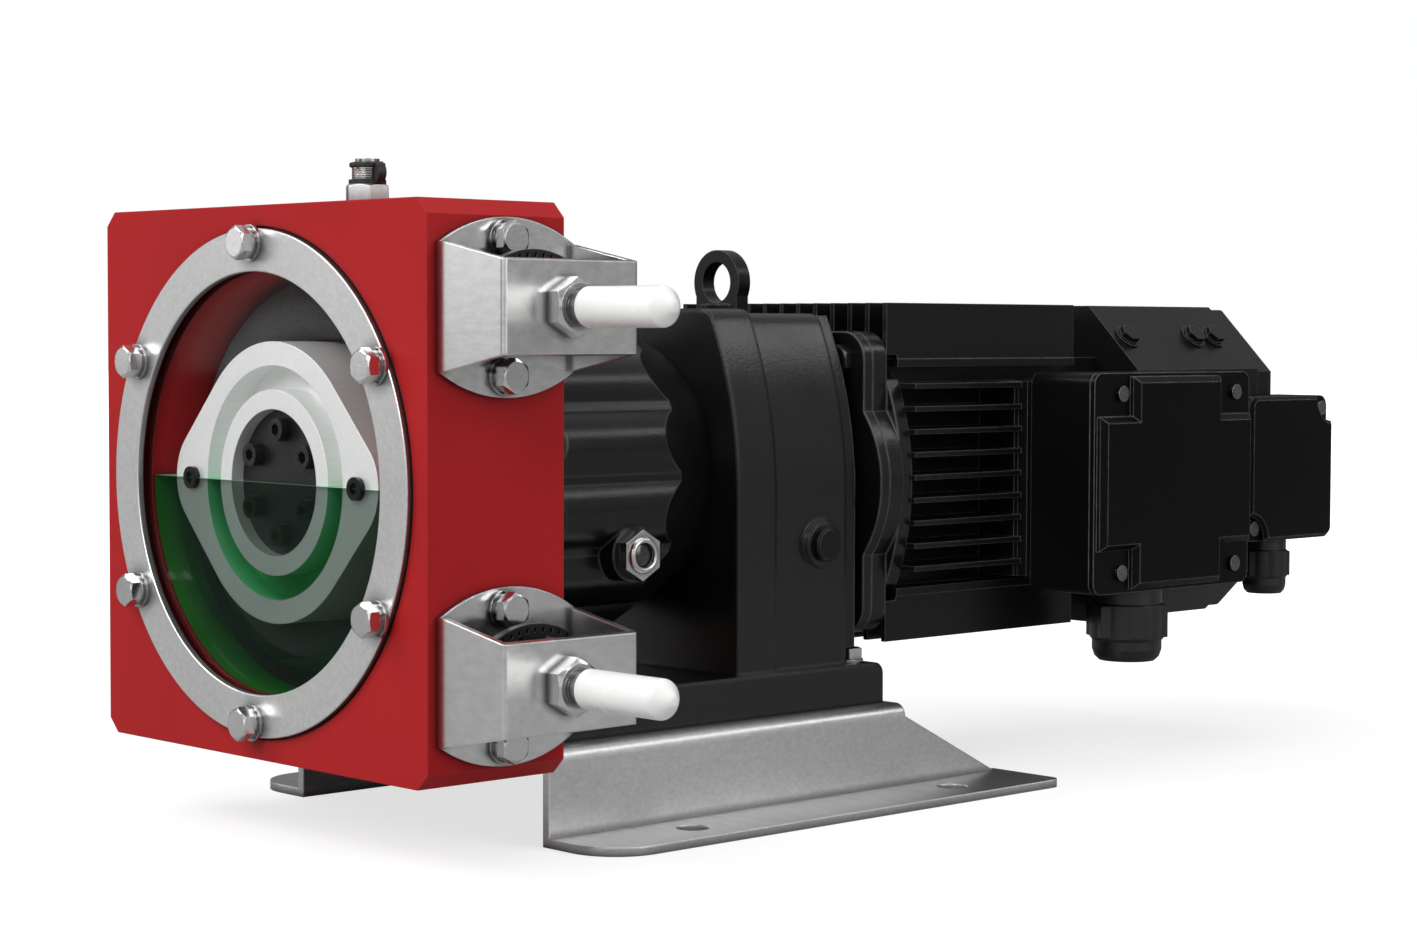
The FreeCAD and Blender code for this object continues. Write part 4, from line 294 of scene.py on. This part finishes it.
# The ring's wider reach paints shade into its bore and along its edge by the block.
RING = brushed("ground_ring", grey(0.66), (0.90, 0.90, 0.895), gloss=(0.30, 0.44), lines=(9, 9, 9),
               reach=0.008)
BRIGHT = brushed("bright_steel", grey(0.54), grey(0.88), gloss=(0.12, 0.24), lines=(20, 20, 20),
                 bevel=0.0003)
TURNED = brushed("turned_steel", (0.42, 0.42, 0.43), (0.62, 0.62, 0.63), gloss=(0.2, 0.32),
                 lines=(2, 60, 2))
ALLOY = brushed("machined_alloy", (0.80, 0.81, 0.80), (0.93, 0.94, 0.93), gloss=(0.30, 0.44),
                lines=(14, 2, 14), metal=0.55, reach=None)
ZINC = brushed("dark_zinc", grey(0.02), grey(0.34), gloss=(0.08, 0.20), lines=(20, 20, 20), depth=1.0)
DARK = brushed("dark_steel", (0.012, 0.012, 0.013), (0.05, 0.05, 0.054), gloss=(0.25, 0.42),
               lines=(20, 20, 20), metal=0.8)

# Rubber, plastic, varnish and glass

GLASS = enamel("sight_glass", (0.010, 0.010, 0.011), (0.030, 0.030, 0.032), gloss=(0.05, 0.12),
               grain=0.02, bevel=0.0003, shine=0.8)
HOSE = moulded("hose_rubber", (0.040, 0.041, 0.042), (0.065, 0.066, 0.067), rough=0.46, shine=0.06)
SEAL = moulded("seal_rubber", grey(0.006), grey(0.012), rough=0.50)
PLASTIC = moulded("black_plastic", (0.004, 0.004, 0.0045), (0.008, 0.008, 0.0085), rough=0.38)
WHITE = moulded("white_plastic", (0.80, 0.80, 0.79), (0.86, 0.86, 0.85), rough=0.26)
WINDOW = clear("clear_window", (0.95, 0.96, 0.96), rough=0.04, body=0.002)
WINDING = moulded("varnished_winding", (0.16, 0.05, 0.015), (0.30, 0.11, 0.03), rough=0.35)

# The lubricant, and the green that shows on what lies behind it

LUBRICANT = liquid("green_lubricant", (0.002, 0.010, 0.005), (0.004, 0.020, 0.010), veil=0.25,
                   colour=(0.10, 0.70, 0.40), density=70.0)
GREEN_WALL = moulded("green_depth", (0.010, 0.15, 0.008), (0.025, 0.25, 0.016), rough=0.5)
GREEN_GROOVE = moulded("green_groove", (0.10, 0.40, 0.20), (0.20, 0.62, 0.34), rough=0.5)

BY_SLOT = {
    "housing_red": RED, "black_casting": CASTING, "black_enamel": BLACK, "stainless_sheet": SHEET,
    "stainless_ring": RING, "bright_steel": BRIGHT, "turned_steel": TURNED, "rotor_alloy": ALLOY,
    "dark_steel": DARK, "hose_rubber": HOSE, "seal_rubber": SEAL, "black_plastic": PLASTIC,
    "cap_white": WHITE, "window_clear": WINDOW, "winding": WINDING,
}
# Nodes that look unlike the rest of their slot
BY_NODE = {
    "base_frame": BASE, "gear_case": CASE, "terminal_box": BOX, "terminal_lid": BOX,
    "fan_terminal_box": BOX, "fan_terminal_lid": BOX, "cowl_screws": BLACK, "hose_clamps": DARK,
    "lid_screws": ZINC, "breather_body": RING, "breather_cap": BRIGHT, "fan_motor": BLACK,
}


def shade_smooth(piece, sharp):
    """Smooth faces, apart from edges that turn by more than the given degrees."""
    for face in piece.data.polygons:
        face.use_smooth = True
    piece.data.set_sharp_from_angle(angle=math.radians(sharp))


slots = {part["node"]: part["material_slot"] for part in frame["record"]["subparts"]}
for name, node in nodes.items():
    node.data.materials.clear()
    node.data.materials.append(BY_NODE.get(name, BY_SLOT[slots[name]]))
    shade_smooth(node, SHARP)


# Pieces of the scene

def swept(name, place, profile, start=0, end=360, steps=48):
    """A solid that a profile sweeps from one angle to another, in degrees: place gives the point for a
    radius, a station and a turn in radians."""
    mesh = bpy.data.meshes.new(name)
    count = len(profile)
    whole = end - start == 360
    turns = [math.radians(start + (end - start) * k / steps) for k in range(steps + (not whole))]
    points = [place(radius, station, turn) for turn in turns for radius, station in profile]
    faces = []
    for k in range(steps):
        near, far = k * count, (k + 1) % len(turns) * count
        for i in range(count):
            following = (i + 1) % count
            faces.append((near + i, near + following, far + following, far + i))
    if not whole:
        faces.append(tuple(range(count - 1, -1, -1)))
        faces.append(tuple(range(steps * count, (steps + 1) * count)))
    mesh.from_pydata(points, [], faces)
    joined = bmesh.new()
    joined.from_mesh(mesh)
    bmesh.ops.remove_doubles(joined, verts=joined.verts, dist=0.00001)
    bmesh.ops.recalc_face_normals(joined, faces=joined.faces)
    joined.to_mesh(mesh)
    joined.free()
    piece = bpy.data.objects.new(name, mesh)
    scene.collection.objects.link(piece)
    return piece


def about_axis(radius, station, turn):
    """A place about the pump axis."""
    return point(radius * math.cos(turn), station, radius * math.sin(turn))


def make_lubricant():
    """The liquid in the lower half of the housing: a layer behind the window, the rotor's ring groove and
    the room outside the rotor's reach, with a green back to its right pocket, its wall and the groove."""
    wall, reach, groove_outer, groove_inner = 91.7, 76.8, 50.8, 40.7
    front, rotor_face, groove_floor, pocket_floor = 6.8, 8.2, 20.2, 26.0
    profile = [(0, front), (wall, front), (wall, pocket_floor), (reach, pocket_floor), (reach, rotor_face),
               (groove_outer, rotor_face), (groove_outer, groove_floor), (groove_inner, groove_floor),
               (groove_inner, rotor_face), (0, rotor_face)]
    piece = swept("lubricant", about_axis, profile, start=180, end=360, steps=120)
    for material in (LUBRICANT, GREEN_WALL, GREEN_GROOVE):
        piece.data.materials.append(material)
    # Bounds that tell the faces of the wall, the groove and the right pocket's back from the rest
    wall_from, groove_from, groove_to = 91.0, 38, 53
    behind_layer, in_groove, at_back = front + 1, rotor_face + 2, pocket_floor - 0.1
    below_level = math.radians(42)
    for face in piece.data.polygons:
        x, z = face.center.x * 1000, (face.center.z - AXIS) * 1000
        station = (face.center.y + SETBACK) * 1000
        radius = math.hypot(x, z)
        pocket_back = station > at_back and math.atan2(-z, x) < below_level
        if pocket_back or (radius > wall_from and station > behind_layer):
            face.material_index = 1
        elif groove_from < radius < groove_to and station > in_groove:
            face.material_index = 2
    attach(piece, "pump")


def make_cap_ring():
    """The rubber ring round the neck of the breather's cap."""
    centre = point(*BREATHER)
    inner, lip, outer, edge = 5.2, 5.8, 7.6, 0.3
    low, high, top = 7.0, 8.9, 9.3

    def place(radius, rise, turn):
        return centre + Vector((radius * math.cos(turn), radius * math.sin(turn), rise)) / 1000

    profile = [(inner, low), (outer - edge, low), (outer, low + edge), (outer, high - edge),
               (outer - edge, high), (lip, top), (inner, top)]
    piece = swept("breather_cap_ring", place, profile)
    piece.data.materials.append(SEAL)
    shade_smooth(piece, SHARP)
    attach(piece, "breather_cap")


def make_sight_lens():
    """The oil sight: a rounded bright bezel on the plug, with a domed dark glass in it."""
    centre = point(*SIGHT)

    def place(radius, rise, turn):
        return centre + Vector((rise, radius * math.cos(turn), radius * math.sin(turn))) / 1000

    # Radii, and rises from the face that the plug is screwed into, in millimetres
    bezel = [(5.6, 5.4), (5.6, 7.6), (5.9, 8.1), (6.5, 8.4), (7.3, 8.3), (8.1, 7.6), (8.5, 6.52),
             (6.0, 6.52)]
    glass = [(0, 1.6), (5.35, 1.6), (5.35, 5.6), (4.6, 6.1), (3.4, 6.5), (1.8, 6.8), (0, 6.9)]
    for name, profile, material in (("sight_bezel", bezel, BRIGHT), ("sight_dome", glass, GLASS)):
        piece = swept(name, place, profile)
        piece.data.materials.append(material)
        shade_smooth(piece, SHARP + 5)
        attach(piece, "pump")


make_lubricant()
make_cap_ring()
make_sight_lens()


# Floor, lights and camera

def make_floor():
    """A pale floor under the pump, lit for the eye alone so that it fades to the white backdrop."""
    mesh = bpy.data.meshes.new("floor")
    half, gap = 12.0, 0.0002
    mesh.from_pydata([(-half, -half, 0), (half, -half, 0), (half, half, 0), (-half, half, 0)], [],
                     [(0, 1, 2, 3)])
    floor = bpy.data.objects.new("floor", mesh)
    scene.collection.objects.link(floor)
    shader = Shader("studio_floor")
    distance = shader.vector_math("LENGTH", shader.place)
    far = shader.node("ShaderNodeMapRange", Value=distance, From_Min=0.45, From_Max=1.5).outputs[0]
    seen = shader.node("ShaderNodeLightPath").outputs["Is Camera Ray"]
    glow = shader.between(far, low=0.72, high=1.32)
    shader.set(Base_Color=shader.tones(shader.noise(scale=3.0, detail=2.0), grey(0.34), grey(0.36)),
               Roughness=0.9, Specular_IOR_Level=0.0, Emission_Color=grey(1.0),
               Emission_Strength=shader.math("MULTIPLY", glow, seen))
    mesh.materials.append(shader.material)
    floor.location.z = -gap


def area_light(name, place, target, width, height, power):
    """A rectangular light turned towards a target, in metres and watts."""
    data = bpy.data.lights.new(name, "AREA")
    data.shape = "RECTANGLE"
    data.size, data.size_y, data.energy = width, height, power
    light = bpy.data.objects.new(name, data)
    light.location = place
    light.rotation_mode = "QUATERNION"
    light.rotation_quaternion = (Vector(target) - Vector(place)).to_track_quat("-Z", "Y")
    scene.collection.objects.link(light)


def make_world():
    """A white backdrop for the eye; for light and reflections a studio whose walls change in brightness
    round the pump and end above and below in the dark, under a soft bright ceiling."""
    world = bpy.data.worlds.new("studio")
    scene.world = world
    world.use_nodes = True
    graph = Graph(world.node_tree)
    graph.tree.nodes.clear()
    way = graph.node("ShaderNodeTexCoord").outputs["Generated"]
    parts = graph.node("ShaderNodeSeparateXYZ", Vector=way).outputs
    height = parts["Z"]
    # Shares of a turn, where 0.25 lies towards -Y, 0.5 towards +X and 0.75 towards +Y
    angle = graph.math("ARCTAN2", parts["Y"], parts["X"])
    turn = graph.math("MULTIPLY_ADD", angle, 0.5 / math.pi, 0.5)
    walls = graph.levels(turn, [(0.0, 0.20), (0.06, 0.22), (0.085, 1.1), (0.135, 1.1), (0.16, 0.16),
                                (0.23, 0.16), (0.26, 1.3), (0.36, 0.7), (0.48, 0.7), (0.55, 1.6),
                                (0.58, 0.34), (0.66, 0.34), (0.75, 0.05), (0.93, 0.05), (1.0, 0.20)])
    # Shares of the way from straight down to straight up
    rise = graph.math("MULTIPLY_ADD", height, 0.5, 0.5)
    band = graph.levels(rise, [(0.30, 0.0), (0.38, 1.0), (0.64, 1.0), (0.74, 0.0)])
    ceiling = graph.levels(height, [(0.0, 0.0), (0.20, 0.02), (0.50, 0.40), (1.0, 0.50)])
    studio = graph.math("MAXIMUM", graph.math("MULTIPLY", walls, band), ceiling)
    lit = graph.node("ShaderNodeBackground", Color=studio)
    white = graph.node("ShaderNodeBackground", Color=grey(1.0))
    seen = graph.node("ShaderNodeLightPath").outputs["Is Camera Ray"]
    choice = graph.tree.nodes.new("ShaderNodeMixShader")
    for socket, value in zip(choice.inputs, (seen, lit.outputs[0], white.outputs[0])):
        graph.feed(socket, value)
    graph.node("ShaderNodeOutputWorld", Surface=choice.outputs[0])


def make_camera():
    """The camera at its place, turned by yaw, then tilted down by pitch and rolled."""
    yaw, pitch, roll = (math.radians(angle) for angle in (YAW, PITCH, ROLL))
    right = Vector((math.cos(yaw), math.sin(yaw), 0))
    ahead = Vector((-math.sin(yaw) * math.cos(pitch), math.cos(yaw) * math.cos(pitch), -math.sin(pitch)))
    up = right.cross(ahead)
    rolled_right = right * math.cos(roll) + up * math.sin(roll)
    rolled_up = up * math.cos(roll) - right * math.sin(roll)
    turn = Matrix((rolled_right, rolled_up, -ahead)).transposed()
    data = bpy.data.cameras.new("camera")
    data.lens = LENS
    data.clip_start, data.clip_end = NEAREST, FARTHEST
    camera = bpy.data.objects.new("camera", data)
    camera.matrix_world = Matrix.Translation(CAMERA) @ turn.to_4x4()
    scene.collection.objects.link(camera)
    scene.camera = camera


make_floor()
make_world()
area_light("key", (0.6, -2.0, 1.5), (0, 0, 0.15), width=1.4, height=1.0, power=28)
area_light("side", (2.0, 0.4, 1.0), (0, 0.1, 0.15), width=1.0, height=1.0, power=8)
area_light("strip", (1.55, 1.35, 1.4), (0, 0.05, 0.1), width=2.4, height=0.3, power=6)
area_light("fill", (-1.2, -1.6, 1.9), (0, -0.1, 0.15), width=1.4, height=1.2, power=26)
area_light("top", (0, 0.2, 2.2), (0, 0.1, 0), width=1.6, height=1.6, power=9)
make_camera()
scene.view_settings.view_transform = "Standard"
